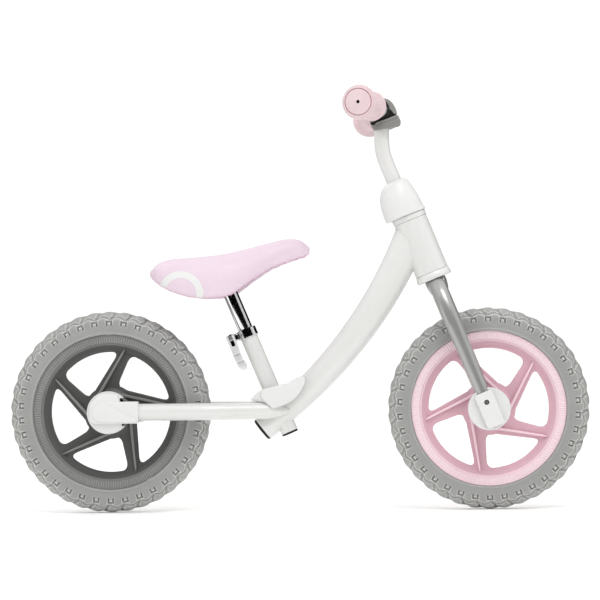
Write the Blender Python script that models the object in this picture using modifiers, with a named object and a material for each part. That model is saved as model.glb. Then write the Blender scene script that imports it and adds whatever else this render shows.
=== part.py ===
"""Balance bike: 12 inch foam wheels, steel tube frame, a steering fork with a handlebar and a saddle on a sliding post.

Units are metres. The origin is on the ground, midway between the axles. +X is forward, +Y is the rider's left
and +Z is up. Sizes below are written in millimetres times MM.
"""
from math import atan2, cos, pi, radians, sin

import bmesh
import bpy
from mathutils import Matrix, Vector

MM = 0.001
GAP = 0.3 * MM

# Wheels
WHEEL_RADIUS = 150 * MM
WHEELBASE = 563.6 * MM
TYRE_HALF_WIDTH = 22 * MM
RIM_RADIUS = 115 * MM
WINDOW_RADIUS = 88 * MM
HUB_HALF_WIDTH = 26 * MM
WHEEL_STEPS = 32
SPOKES = 5
REAR_SPOKE_ANGLE = radians(4.3)
FRONT_SPOKE_ANGLE = radians(46.0)

# Wheel ends: where the flattened tube tips, nuts and covers sit along the axle
TIP_CENTRE = 44 * MM
TIP_THICKNESS = 5 * MM
AXLE_RADIUS = 5 * MM
COVER_RADIUS = 31.6 * MM
COVER_FACE = 52 * MM
CHANNEL_FACE = 59 * MM
COVER_WALL = 2 * MM

# Frame tubes
STAY_RADIUS = 12.7 * MM
SEAT_TUBE_RADIUS = 12.7 * MM
SEAT_TUBE_WALL = 1.4 * MM
SEAT_TUBE_BELOW = 153 * MM
SEAT_TUBE_ABOVE = 12 * MM
SEAT_ANGLE = radians(22.6)
SEAT_POINT = Vector((-74 * MM, 0, 259 * MM))
MAIN_START = Vector((-54.5 * MM, 0, 122.4 * MM))
MAIN_HANDLE_1 = Vector((29 * MM, 0, 188 * MM))
MAIN_HANDLE_2 = Vector((115 * MM, 0, 275 * MM))
MAIN_END = Vector((171 * MM, 0, 412 * MM))
MAIN_RADIUS_LOW = 18.2 * MM
MAIN_RADIUS_HIGH = 24.8 * MM
MAIN_FLATTEN = 0.85
MAIN_WALL = 1.8 * MM

# Steering, measured along the steering axis from the front axle
STEERING_ANGLE = radians(22)
HEAD_LOW = 219.2 * MM
HEAD_HIGH = 302.6 * MM
HEAD_RADIUS = 25.2 * MM
HEAD_BORE = 22.8 * MM
STEERER_RADIUS = 12.7 * MM
STEERER_TOP = 330 * MM
CROWN_TOP = 207.9 * MM
CROWN_RADIUS = 16 * MM
BEARING_RADIUS = 22.1 * MM
LEG_TOP_RADIUS = 12.7 * MM
LEG_LOW_RADIUS = 10.7 * MM
COVER_SCREW_HEIGHT = 10.7 * MM

# Handlebar
BAR_CENTRE = Vector((125 * MM, 0, 596 * MM))
BAR_RADIUS = 11.1 * MM
BAR_WALL = 1.6 * MM
BAR_END = Vector((101 * MM, 190 * MM, 594.5 * MM))
BAR_STRAIGHT = 30 * MM
CLAMP_TILT = radians(-10)
CLAMP_HALF_WIDTH = 20 * MM
CLAMP_BOLT_OFFSET = 19.5 * MM
CLAMP_CAP_RADIUS = 18.5 * MM
GRIP_LENGTH = 118 * MM

# Seat
POST_RADIUS = 10.9 * MM
POST_ABOVE = 78 * MM
POST_BELOW = 90 * MM
SADDLE_SKIRT = 0.80
SADDLE_FLOOR = 0.42
BRACKET_PLACE = Vector((-48 * MM, 0, 79.8 * MM))
PLATE_TOP = -1.5 * MM

# Quick release, in the seat tube's own axes
SKEWER_OFFSET = -25 * MM
SKEWER_HEIGHT = 8 * MM
EAR_FACE = 8 * MM
CAM_RADIUS = 6.4 * MM
CAM_CENTRE = -(EAR_FACE + 0.4 * MM + CAM_RADIUS)
LEVER_LENGTH = 50 * MM
LEVER_HALF_WIDTH = 6 * MM

WHITE = (0.83, 0.83, 0.82)
SATIN_GREY = (0.36, 0.36, 0.35)
STEEL = (0.55, 0.55, 0.56)
CHROME = (0.80, 0.80, 0.81)
BLACK = (0.02, 0.02, 0.02)
TYRE_GREY = (0.34, 0.34, 0.33)
CHARCOAL = (0.11, 0.11, 0.11)
RIM_PINK = (0.66, 0.42, 0.47)
GRIP_PINK = (0.82, 0.55, 0.60)
SADDLE_PINK = (0.86, 0.68, 0.79)
CLAMP_GREY = (0.29, 0.28, 0.27)


# --- scene helpers ---------------------------------------------------------------------------------------------

def new_collection(name):
    collection = bpy.data.collections.get(name)
    if collection is None:
        collection = bpy.data.collections.new(name)
        bpy.context.scene.collection.children.link(collection)
    return collection


def material(name, colour, roughness, metallic=0.0):
    mat = bpy.data.materials.get(name)
    if mat is None:
        mat = bpy.data.materials.new(name)
        mat.use_nodes = True
        shader = mat.node_tree.nodes["Principled BSDF"]
        shader.inputs["Base Color"].default_value = (*colour, 1.0)
        shader.inputs["Roughness"].default_value = roughness
        shader.inputs["Metallic"].default_value = metallic
    return mat


def white_paint():
    return material("white_paint", WHITE, 0.3)


def white_plastic():
    return material("white_plastic", WHITE, 0.35)


def chrome():
    return material("chrome", CHROME, 0.08, 1.0)


def steel():
    return material("steel", STEEL, 0.35, 1.0)


def satin_grey():
    return material("satin_grey", SATIN_GREY, 0.35, 0.3)


def black_plastic():
    return material("black_plastic", BLACK, 0.5)


def keep(name, mesh, mat, parent=None, matrix=None):
    """Make a part from a mesh: matrix places it in its parent's axes."""
    obj = bpy.data.objects.new(name, mesh)
    PARTS.objects.link(obj)
    obj.data.materials.clear()
    obj.data.materials.append(mat)
    obj.data.shade_smooth()
    obj.data.set_sharp_from_angle(angle=radians(35))
    if parent is not None:
        obj.parent = parent
    if matrix is not None:
        obj.matrix_basis = matrix
    return obj


def cutter(name, mesh, parent=None, matrix=None):
    """Make a hidden solid that a Boolean uses."""
    obj = bpy.data.objects.new(name, mesh)
    CUTTERS.objects.link(obj)
    obj.display_type = "WIRE"
    obj.hide_render = True
    if parent is not None:
        obj.parent = parent
    if matrix is not None:
        obj.matrix_basis = matrix
    return obj


def combine(obj, operation, other):
    modifier = obj.modifiers.new(operation.lower(), "BOOLEAN")
    modifier.operation = operation
    modifier.solver = "EXACT"
    modifier.object = other


def cut(obj, *others):
    for other in others:
        combine(obj, "DIFFERENCE", other)


def join(obj, *others):
    for other in others:
        combine(obj, "UNION", other)


def empty(name, location, rotation):
    obj = bpy.data.objects.new(name, None)
    PARTS.objects.link(obj)
    obj.location = location
    obj.rotation_euler = rotation
    return obj


# --- meshes ----------------------------------------------------------------------------------------------------

def turned(profile, steps=32):
    """A solid of revolution about Z. A profile that starts on the axis is open, any other is a closed loop."""
    mesh = bpy.data.meshes.new("turned")
    bm = bmesh.new()
    verts = [bm.verts.new((radius, 0, height)) for radius, height in profile]
    edges = [bm.edges.new(pair) for pair in zip(verts, verts[1:])]
    if profile[0][0] > 0:
        edges.append(bm.edges.new((verts[-1], verts[0])))
    bmesh.ops.spin(
        bm, geom=verts + edges, cent=(0, 0, 0), axis=(0, 0, 1), angle=2 * pi, steps=steps, use_merge=True,
    )
    bmesh.ops.remove_doubles(bm, verts=bm.verts, dist=0.01 * MM)
    bmesh.ops.recalc_face_normals(bm, faces=bm.faces)
    bm.to_mesh(mesh)
    bm.free()
    return mesh


def cylinder(radius, low, high, steps=32, matrix=None):
    """A cylinder along Z from low to high, or along another axis that matrix turns it to."""
    mesh = bpy.data.meshes.new("cylinder")
    bm = bmesh.new()
    bmesh.ops.create_cone(
        bm, cap_ends=True, segments=steps, radius1=radius, radius2=radius, depth=high - low,
        matrix=Matrix.Translation((0, 0, (low + high) / 2)),
    )
    if matrix is not None:
        bmesh.ops.transform(bm, matrix=matrix, verts=bm.verts)
    bm.to_mesh(mesh)
    bm.free()
    return mesh


def block(low, high, bevel=0.0, segments=2, matrix=None):
    """A box between two corners, with its edges rounded by bevel."""
    mesh = bpy.data.meshes.new("block")
    bm = bmesh.new()
    bmesh.ops.create_cube(bm, size=1)
    size = Vector(high) - Vector(low)
    bmesh.ops.transform(bm, matrix=Matrix.Diagonal((*size, 1)), verts=bm.verts)
    bmesh.ops.translate(bm, vec=(Vector(high) + Vector(low)) / 2, verts=bm.verts)
    if bevel > 0:
        bmesh.ops.bevel(
            bm, geom=bm.edges[:], offset=bevel, segments=segments, affect="EDGES", profile=0.5,
        )
    if matrix is not None:
        bmesh.ops.transform(bm, matrix=matrix, verts=bm.verts)
    bm.to_mesh(mesh)
    bm.free()
    return mesh


def curve_mesh(curve, weld=True):
    """Turn a curve's data into a closed mesh and remove the curve."""
    obj = bpy.data.objects.new("guide", curve)
    CUTTERS.objects.link(obj)
    bpy.context.view_layer.update()
    graph = bpy.context.evaluated_depsgraph_get()
    mesh = bpy.data.meshes.new_from_object(obj.evaluated_get(graph))
    if weld:
        bm = bmesh.new()
        bm.from_mesh(mesh)
        bmesh.ops.remove_doubles(bm, verts=bm.verts, dist=0.01 * MM)
        bm.to_mesh(mesh)
        bm.free()
    bpy.data.objects.remove(obj)
    return mesh


def tube(points, radii, sides=16, caps=True):
    """A round tube through the points, with a radius at each."""
    curve = bpy.data.curves.new("tube", "CURVE")
    curve.dimensions = "3D"
    curve.bevel_depth = 1.0
    curve.bevel_resolution = sides // 2 - 2
    curve.use_fill_caps = caps
    curve.render_resolution_u = 0
    spline = curve.splines.new("POLY")
    spline.points.add(len(points) - 1)
    for point, place, radius in zip(spline.points, points, radii):
        point.co = (*place, 1)
        point.radius = radius
    return curve_mesh(curve)


def outline_solid(outlines, thickness):
    """Flat outlines in XY, thickened evenly both ways along Z."""
    curve = bpy.data.curves.new("outline", "CURVE")
    curve.dimensions = "2D"
    curve.fill_mode = "BOTH"
    curve.extrude = thickness / 2
    curve.render_resolution_u = 0
    for outline in outlines:
        spline = curve.splines.new("POLY")
        spline.points.add(len(outline) - 1)
        spline.use_cyclic_u = True
        for point, (x, y) in zip(spline.points, outline):
            point.co = (x, y, 0, 1)
    return curve_mesh(curve)


def bezier(start, handle_1, handle_2, end, count):
    """Points evenly spread in parameter along one cubic Bezier curve."""
    points = []
    for i in range(count):
        t = i / (count - 1)
        s = 1 - t
        points.append(s ** 3 * start + 3 * s * s * t * handle_1 + 3 * s * t * t * handle_2 + t ** 3 * end)
    return points


def rounded_corner(before, corner, after, trim, count=4):
    """A smooth turn at a corner of a flat outline, starting and ending trim away from it."""
    start = corner + (before - corner).normalized() * trim
    end = corner + (after - corner).normalized() * trim
    points = []
    for i in range(count):
        t = i / (count - 1)
        points.append((1 - t) ** 2 * start + 2 * (1 - t) * t * corner + t * t * end)
    return points


def polar(radius, angle):
    return Vector((radius * cos(angle), radius * sin(angle)))


def turn_about(axis, angle):
    return Matrix.Rotation(angle, 4, axis)


def side_name(side):
    return "right" if side < 0 else "left"


def along_y(side):
    """Turns local +Z to point out of the bike on one side: -1 is its right, +1 is its left."""
    return turn_about("X", -side * pi / 2)


# --- axes ------------------------------------------------------------------------------------------------------

def steering_direction():
    return Vector((-sin(STEERING_ANGLE), 0, cos(STEERING_ANGLE)))


def front_axle_point():
    return Vector((WHEELBASE / 2, 0, WHEEL_RADIUS))


def rear_axle_point():
    return Vector((-WHEELBASE / 2, 0, WHEEL_RADIUS))


# --- wheels ----------------------------------------------------------------------------------------------------

def wheel_matrix():
    """Wheel axis along Y, turned half a step so that one flat of the tread faces the ground."""
    return turn_about("Y", pi / WHEEL_STEPS) @ turn_about("X", pi / 2)


def tyre_mesh():
    """Foam tyre: a flat-crowned ring whose facets touch the ground at the wheel's radius."""
    crown = WHEEL_RADIUS / cos(pi / WHEEL_STEPS)
    half = TYRE_HALF_WIDTH
    seat = RIM_RADIUS + GAP
    side = [
        (crown, 0.30 * half),
        (crown - 4.5 * MM, 0.72 * half),
        (crown - 13 * MM, half),
        (crown - 28 * MM, 0.95 * half),
        (seat, 0.86 * half),
    ]
    profile = side[::-1] + [(radius, -offset) for radius, offset in side]
    return turned(profile, WHEEL_STEPS)


def window_outline(angle, mirrored):
    """One opening between two tangential spokes, as a three-cornered outline with a round outer side."""
    turn = -1 if mirrored else 1
    inner = polar(37.9 * MM, angle + turn * radians(70.4))
    first = angle + turn * radians(8.2)
    last = angle + turn * radians(64.3)
    outer = [polar(WINDOW_RADIUS, first + (last - first) * i / 8) for i in range(9)]
    points = rounded_corner(outer[-1], inner, outer[0], 5 * MM)
    points += rounded_corner(inner, outer[0], outer[2], 7 * MM)
    points += outer[2:-2]
    points += rounded_corner(outer[-2], outer[-1], inner, 7 * MM)
    return points


def rim_mesh():
    """Moulded rim: barrel, sloped cone, flat web and hub with a bearing seat on each side."""
    side = [
        (RIM_RADIUS, 18 * MM),
        (102 * MM, 16 * MM),
        (92.5 * MM, 6.5 * MM),
        (32 * MM, 6.5 * MM),
        (20 * MM, HUB_HALF_WIDTH),
        (13.3 * MM, HUB_HALF_WIDTH),
        (13.3 * MM, HUB_HALF_WIDTH - 8.4 * MM),
        (11.5 * MM, HUB_HALF_WIDTH - 8.4 * MM),
    ]
    profile = [(radius, -height) for radius, height in side] + side[::-1]
    return turned(profile, WHEEL_STEPS)


def hub_bearing_mesh():
    profile = [(13 * MM, 4 * MM), (13 * MM, -4 * MM), (5.4 * MM, -4 * MM), (5.4 * MM, 4 * MM)]
    return turned(profile, 24)


def wheel(name, axle_point, parent, colour, spoke_angle, mirrored):
    """Tyre, rim, two bearings and the spacer between them, all centred on the axle."""
    axis = empty(f"{name}_wheel_axis", axle_point, (0, 0, 0))
    if parent is not None:
        axis.parent = parent
        axis.matrix_parent_inverse = parent.matrix_world.inverted()
    matrix = wheel_matrix()
    keep(f"{name}_tyre", tyre_mesh(), material("foam_tyre", TYRE_GREY, 0.7), axis, matrix)
    rim = keep(f"{name}_rim", rim_mesh(), material(f"{name}_rim", colour, 0.45), axis, matrix)
    phase = spoke_angle + pi / WHEEL_STEPS
    outlines = [window_outline(phase + 2 * pi * i / SPOKES, mirrored) for i in range(SPOKES)]
    cut(rim, cutter(f"{name}_rim_windows", outline_solid(outlines, 40 * MM), axis, matrix))
    for side in (-1, 1):
        place = Matrix.Translation((0, side * (HUB_HALF_WIDTH - 4.1 * MM), 0)) @ along_y(side)
        keep(f"{name}_hub_bearing_{side_name(side)}", hub_bearing_mesh(), steel(), axis, place)
    reach = HUB_HALF_WIDTH - 8.5 * MM
    spacer = [(7 * MM, reach), (7 * MM, -reach), (5.4 * MM, -reach), (5.4 * MM, reach)]
    keep(f"{name}_bearing_spacer", turned(spacer, 24), steel(), axis, along_y(1))


# --- wheel ends: local Z points along the tube that holds the wheel ----------------------------------------------

def axle(name, parent):
    tip = 52.9 * MM
    inner = TIP_CENTRE - TIP_THICKNESS / 2 - GAP
    outer = HUB_HALF_WIDTH + 0.4 * MM
    upper = [(0, tip), (AXLE_RADIUS, tip), (AXLE_RADIUS, inner), (8.5 * MM, inner), (8.5 * MM, outer),
             (AXLE_RADIUS, outer)]
    profile = upper + [(radius, -height) for radius, height in upper[::-1]]
    keep(name, turned(profile, 12), steel(), parent, along_y(1))


def axle_nut(name, side, parent):
    low = TIP_CENTRE + TIP_THICKNESS / 2 + GAP
    nut = keep(name, cylinder(8.2 * MM, low, low + 5.2 * MM, 6), steel(), parent, along_y(side))
    hole = cylinder(AXLE_RADIUS + 0.35 * MM, low - 1 * MM, low + 8 * MM, 24)
    cut(nut, cutter(f"{name}_hole", hole, parent, along_y(side)))


def flatten_tip(obj, side, parent):
    """Cut a round tube's end down to a plate with the axle's hole in it."""
    for name, near, far in (("inside", 20 * MM, TIP_CENTRE - TIP_THICKNESS / 2),
                            ("outside", TIP_CENTRE + TIP_THICKNESS / 2, 70 * MM)):
        span = sorted((side * near, side * far))
        shape = block((-20 * MM, span[0], -20 * MM), (20 * MM, span[1], 15 * MM))
        cut(obj, cutter(f"{obj.name}_tip_{name}", shape, parent))
    hole = cylinder(AXLE_RADIUS + 0.4 * MM, 30 * MM, 60 * MM, 24)
    cut(obj, cutter(f"{obj.name}_axle_hole", hole, parent, along_y(side)))


def hub_cover(name, side, parent, tube_radius, channel_half_width, channel_top, screw):
    """Cap over the axle end: a disc with a raised channel that the tube runs into."""
    turned_out = along_y(side)
    disc = turned([
        (0, COVER_FACE), (COVER_RADIUS - 2 * MM, COVER_FACE), (COVER_RADIUS, COVER_FACE - 2 * MM),
        (COVER_RADIUS, 36 * MM), (0, 36 * MM),
    ], 24)
    cover = keep(name, disc, white_plastic(), parent, turned_out)
    span = sorted((side * 35 * MM, side * CHANNEL_FACE))
    channel = block(
        (-channel_half_width, span[0], -27.5 * MM), (channel_half_width, span[1], channel_top), 3 * MM, 1,
    )
    join(cover, cutter(f"{name}_channel", channel, parent))
    hollow = cylinder(COVER_RADIUS - COVER_WALL, 30 * MM, COVER_FACE - COVER_WALL, 24)
    cut(cover, cutter(f"{name}_hollow", hollow, parent, turned_out))
    inner = channel_half_width - COVER_WALL
    span = sorted((side * 30 * MM, side * (CHANNEL_FACE - COVER_WALL)))
    pocket = block((-inner, span[0], -25 * MM), (inner, span[1], 17 * MM), 2 * MM, 1)
    cut(cover, cutter(f"{name}_pocket", pocket, parent))
    passage = cylinder(
        tube_radius + 0.6 * MM, 12 * MM, 70 * MM, 16, Matrix.Translation((0, side * TIP_CENTRE, 0)),
    )
    cut(cover, cutter(f"{name}_passage", passage, parent))
    if screw:
        spot = Matrix.Translation((0, 0, COVER_SCREW_HEIGHT)) @ turned_out
        boss = cylinder(4.2 * MM, 53.3 * MM, CHANNEL_FACE - 1 * MM, 16)
        join(cover, cutter(f"{name}_boss", boss, parent, spot))
        bore = turned([
            (0, 70 * MM), (3.4 * MM, 70 * MM), (3.4 * MM, 54.8 * MM), (2 * MM, 54.8 * MM), (2 * MM, 50 * MM),
            (0, 50 * MM),
        ], 12)
        cut(cover, cutter(f"{name}_screw_bore", bore, parent, spot))


def cover_screw(name, side, parent):
    profile = [
        (0, 57 * MM), (3 * MM, 57 * MM), (3 * MM, 55.1 * MM), (1.6 * MM, 55.1 * MM), (1.6 * MM, 42 * MM), (0, 42 * MM),
    ]
    place = Matrix.Translation((0, 0, COVER_SCREW_HEIGHT)) @ along_y(side)
    keep(name, turned(profile, 20), steel(), parent, place)


# --- frame -----------------------------------------------------------------------------------------------------

def main_tube_path():
    return bezier(MAIN_START, MAIN_HANDLE_1, MAIN_HANDLE_2, MAIN_END, 9)


def main_tube_mesh(extra, start_extra, caps):
    """The main tube's skin: round along its path, then flattened sideways."""
    path = main_tube_path()
    path[0] = path[0] + (path[0] - path[1]).normalized() * start_extra
    last = len(path) - 1
    radii = [MAIN_RADIUS_LOW + (MAIN_RADIUS_HIGH - MAIN_RADIUS_LOW) * i / last + extra for i in range(last + 1)]
    mesh = tube(path, radii, 16, caps)
    mesh.transform(Matrix.Diagonal((1, MAIN_FLATTEN, 1, 1)))
    return mesh


def main_tube(head_axis, seat_axis):
    obj = keep("main_tube", main_tube_mesh(0, 0, False), white_paint())
    wall = obj.modifiers.new("wall", "SOLIDIFY")
    wall.thickness = MAIN_WALL
    wall.offset = -1
    cut(obj, cutter("main_tube_head_cut", cylinder(HEAD_RADIUS + GAP, 180 * MM, 330 * MM, 48), head_axis))
    cut(obj, cutter("main_tube_seat_cut", cylinder(SEAT_TUBE_RADIUS + GAP, -220 * MM, 0, 32), seat_axis))


def main_tube_plug():
    path = main_tube_path()
    outward = (path[0] - path[1]).normalized()
    bore = MAIN_RADIUS_LOW - MAIN_WALL - 0.6 * MM
    mesh = turned([
        (0, 4.3 * MM), (MAIN_RADIUS_LOW - 1.5 * MM, 4.3 * MM), (MAIN_RADIUS_LOW - 0.4 * MM, 3 * MM),
        (MAIN_RADIUS_LOW - 0.4 * MM, GAP), (bore, GAP), (bore, -7 * MM), (0, -7 * MM),
    ], 24)
    mesh.transform(Matrix.Diagonal((1, MAIN_FLATTEN, 1, 1)))
    place = Matrix.Translation(MAIN_START) @ turn_about("Y", atan2(outward.x, outward.z))
    keep("main_tube_plug", mesh, black_plastic(), None, place)


def seat_tube(seat_axis):
    bore = SEAT_TUBE_RADIUS - SEAT_TUBE_WALL
    mesh = turned([
        (SEAT_TUBE_RADIUS, SEAT_TUBE_ABOVE), (SEAT_TUBE_RADIUS, -SEAT_TUBE_BELOW), (bore, -SEAT_TUBE_BELOW),
        (bore, SEAT_TUBE_ABOVE),
    ], 24)
    obj = keep("seat_tube", mesh, white_paint(), seat_axis)
    slot = block((-20 * MM, -1.5 * MM, -16 * MM), (-8 * MM, 1.5 * MM, 20 * MM))
    cut(obj, cutter("seat_tube_slot", slot, seat_axis))


def seat_tube_plug(seat_axis):
    bore = SEAT_TUBE_RADIUS - SEAT_TUBE_WALL - 0.4 * MM
    mesh = turned([
        (0, 9 * MM), (bore, 9 * MM), (bore, -GAP), (SEAT_TUBE_RADIUS - 0.2 * MM, -GAP),
        (SEAT_TUBE_RADIUS - 0.2 * MM, -2 * MM), (SEAT_TUBE_RADIUS - 1 * MM, -2.8 * MM), (0, -2.8 * MM),
    ], 24)
    keep("seat_tube_plug", mesh, black_plastic(), seat_axis, Matrix.Translation((0, 0, -SEAT_TUBE_BELOW)))


def stay_path(side):
    """Straight beside the wheel, then curving in to the main tube's side."""
    rear = Vector((rear_axle_point().x - 11 * MM, side * TIP_CENTRE, WHEEL_RADIUS))
    bend = Vector((-128 * MM, side * TIP_CENTRE, WHEEL_RADIUS))
    curve = bezier(
        bend, bend + Vector((55 * MM, 0, 0)), Vector((-62 * MM, side * 25 * MM, WHEEL_RADIUS)),
        Vector((-14 * MM, side * 19 * MM, WHEEL_RADIUS)), 8,
    )
    return [rear] + curve


def chain_stay(side, rear_axis, seat_axis):
    name = f"chain_stay_{side_name(side)}"
    path = stay_path(side)
    obj = keep(name, tube(path, [STAY_RADIUS] * len(path), 12), white_paint())
    cut(obj, cutter(f"{name}_saddle", main_tube_mesh(GAP, 30 * MM, True)))
    cut(obj, cutter(f"{name}_seat_cut", cylinder(SEAT_TUBE_RADIUS + GAP, -220 * MM, 0, 32), seat_axis))
    flatten_tip(obj, side, rear_axis)


def junction_cover(seat_axis):
    """Leaf-shaped cover over the place where the seat tube, main tube and stays meet."""
    corners = [
        (-76, 164), (-65, 175), (-56, 183), (-32, 189), (-20, 190), (1, 203), (7, 198.5), (8.5, 187),
        (-2.5, 169), (-20, 157.5), (-40, 151.5), (-44, 158), (-58, 164.5),
    ]
    outline = [(x * MM, z * MM) for x, z in corners]
    mesh = outline_solid([outline], 54 * MM)
    cover = keep("junction_cover", mesh, white_plastic(), None, turn_about("X", pi / 2))
    edge = cover.modifiers.new("edge", "BEVEL")
    edge.width = 3 * MM
    edge.segments = 2
    edge.limit_method = "ANGLE"
    edge.angle_limit = radians(50)
    cut(cover, cutter("junction_main_cut", main_tube_mesh(GAP, 30 * MM, True)))
    cut(cover, cutter("junction_seat_cut", cylinder(SEAT_TUBE_RADIUS + GAP, -220 * MM, 0, 32), seat_axis))
    for side in (-1, 1):
        path = stay_path(side)
        mesh = tube(path, [STAY_RADIUS + 2 * GAP] * len(path), 12)
        cut(cover, cutter(f"junction_stay_cut_{side_name(side)}", mesh))


def head_set(head_axis):
    """Head tube with a cup at each end and a bearing in each cup."""
    keep("head_tube", turned([
        (HEAD_RADIUS, HEAD_HIGH), (HEAD_RADIUS, HEAD_LOW), (HEAD_BORE, HEAD_LOW), (HEAD_BORE, HEAD_HIGH),
    ], 24), white_paint(), head_axis)
    keep("headset_cup_lower", turned([
        (25.4 * MM, 218.9 * MM), (26.8 * MM, 211 * MM), (26.8 * MM, 208.4 * MM), (22.5 * MM, 208.4 * MM),
        (22.5 * MM, 218.9 * MM),
    ], 24), white_paint(), head_axis)
    keep("headset_cup_upper", turned([
        (25.8 * MM, 310.6 * MM), (25.8 * MM, 302.9 * MM), (22.5 * MM, 302.9 * MM), (22.5 * MM, 310.6 * MM),
    ], 24), white_paint(), head_axis)
    for name, low in (("lower", 210 * MM), ("upper", 303 * MM)):
        high = low + 7 * MM
        inner = STEERER_RADIUS + 0.4 * MM
        keep(f"headset_bearing_{name}", turned([
            (BEARING_RADIUS, high), (BEARING_RADIUS, low), (inner, low), (inner, high),
        ], 24), steel(), head_axis)


def seat_collar(seat_axis):
    inner = SEAT_TUBE_RADIUS + GAP
    mesh = turned([
        (14.9 * MM, 13.8 * MM), (14.9 * MM, GAP), (inner, GAP), (inner, 13.8 * MM),
    ], 24)
    collar = keep("seat_collar", mesh, chrome(), seat_axis)
    ears = block(
        (-32 * MM, -EAR_FACE, 1.5 * MM), (-13.6 * MM, EAR_FACE, 13.2 * MM), 1.5 * MM, 1,
    )
    join(collar, cutter("seat_collar_ears", ears, seat_axis))
    split = block((-40 * MM, -1.5 * MM, -5 * MM), (-8 * MM, 1.5 * MM, 20 * MM))
    cut(collar, cutter("seat_collar_split", split, seat_axis))
    place = Matrix.Translation((SKEWER_OFFSET, 0, SKEWER_HEIGHT)) @ along_y(1)
    cut(collar, cutter("seat_collar_hole", cylinder(2.9 * MM, -20 * MM, 20 * MM, 20), seat_axis, place))


def skewer(seat_axis):
    """Rod through the collar's ears with an eye for the cam pin, and the nut on its far end."""
    rod_place = Matrix.Translation((SKEWER_OFFSET, 0, SKEWER_HEIGHT)) @ along_y(1)
    rod = keep("qr_skewer", cylinder(2.4 * MM, CAM_CENTRE, 15 * MM, 16), steel(), seat_axis, rod_place)
    across = Matrix.Translation((SKEWER_OFFSET, CAM_CENTRE, SKEWER_HEIGHT)) @ turn_about("Y", pi / 2)
    join(rod, cutter("qr_skewer_eye", cylinder(3.8 * MM, -2.3 * MM, 2.3 * MM, 20), seat_axis, across))
    cut(rod, cutter("qr_skewer_eye_hole", cylinder(2.4 * MM, -5 * MM, 5 * MM, 16), seat_axis, across))
    low = EAR_FACE + GAP
    nut = turned([(7 * MM, low + 5.5 * MM), (7.5 * MM, low), (2.8 * MM, low), (2.8 * MM, low + 5.5 * MM)], 20)
    keep("qr_nut", nut, chrome(), seat_axis, rod_place)


def quick_release_lever(lever_axis):
    """Lever whose split cam turns on the pin. Local X is the pin, and the lever hangs along -Z."""
    blade_path = [
        Vector((0, -1.5 * MM, -6 * MM)), Vector((0, -2 * MM, -16 * MM)), Vector((0, -4.5 * MM, -28 * MM)),
        Vector((-2 * MM, -4 * MM, -40 * MM)), Vector((-2.5 * MM, -2.5 * MM, -LEVER_LENGTH)),
    ]
    blade = tube(blade_path, [LEVER_HALF_WIDTH] * 5, 16)
    lever = keep("qr_lever", blade, chrome(), lever_axis)
    thin = block((-20 * MM, -30 * MM, -80 * MM), (20 * MM, -6.5 * MM, 10 * MM))
    cut(lever, cutter("qr_lever_outer_face", thin, lever_axis))
    inside = block((-20 * MM, -0.5 * MM, -80 * MM), (20 * MM, 30 * MM, 10 * MM))
    cut(lever, cutter("qr_lever_inner_face", inside, lever_axis))
    across = turn_about("Y", pi / 2)
    cam = cylinder(CAM_RADIUS, -LEVER_HALF_WIDTH, LEVER_HALF_WIDTH, 28)
    join(lever, cutter("qr_lever_cam", cam, lever_axis, across))
    slot = block((-2.8 * MM, -9 * MM, -9 * MM), (2.8 * MM, 9 * MM, 12 * MM))
    cut(lever, cutter("qr_lever_slot", slot, lever_axis))
    cut(lever, cutter("qr_lever_pin_hole", cylinder(2.3 * MM, -20 * MM, 20 * MM, 16), lever_axis, across))
    keep("qr_pivot_pin", cylinder(1.9 * MM, -6.5 * MM, 6.5 * MM, 16), steel(), lever_axis, across)


# --- steering --------------------------------------------------------------------------------------------------

def fork_steerer(steering):
    bore = STEERER_RADIUS - 1.2 * MM
    keep("fork_steerer", turned([
        (0, 245 * MM), (bore, 245 * MM), (bore, STEERER_TOP), (STEERER_RADIUS, STEERER_TOP),
        (STEERER_RADIUS, CROWN_TOP), (CROWN_RADIUS, CROWN_TOP), (CROWN_RADIUS, 199 * MM), (14.5 * MM, 190 * MM),
        (12 * MM, 182 * MM), (0, 182 * MM),
    ], 24), satin_grey(), steering)


def fork_leg(side, steering):
    name = f"fork_leg_{side_name(side)}"
    points = [
        (14, 199), (22, 194), (31, 184), (38, 168), (42.5, 146), (44, 120), (44, 80), (44, 40), (44, -11),
    ]
    path = [Vector((0, side * y * MM, z * MM)) for y, z in points]
    radii = [LEG_TOP_RADIUS] * 5 + [12.2 * MM, 11.6 * MM, 11 * MM, LEG_LOW_RADIUS]
    radii[0] = 7 * MM
    radii[1] = 11 * MM
    leg = keep(name, tube(path, radii, 12), satin_grey(), steering)
    crown = turned([
        (0, 230 * MM), (CROWN_RADIUS + GAP, 230 * MM), (CROWN_RADIUS + GAP, 199 * MM), (14.9 * MM, 190 * MM),
        (12.4 * MM, 181.6 * MM), (0, 181.6 * MM),
    ], 24)
    cut(leg, cutter(f"{name}_crown_cut", crown, steering))
    under_cup = block((-60 * MM, -90 * MM, CROWN_TOP - 0.5 * MM), (60 * MM, 90 * MM, 260 * MM))
    cut(leg, cutter(f"{name}_top_cut", under_cup, steering))
    flatten_tip(leg, side, steering)
    hole = cylinder(2 * MM, 30 * MM, 60 * MM, 16)
    place = Matrix.Translation((0, 0, COVER_SCREW_HEIGHT)) @ along_y(side)
    cut(leg, cutter(f"{name}_screw_hole", hole, steering, place))


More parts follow.
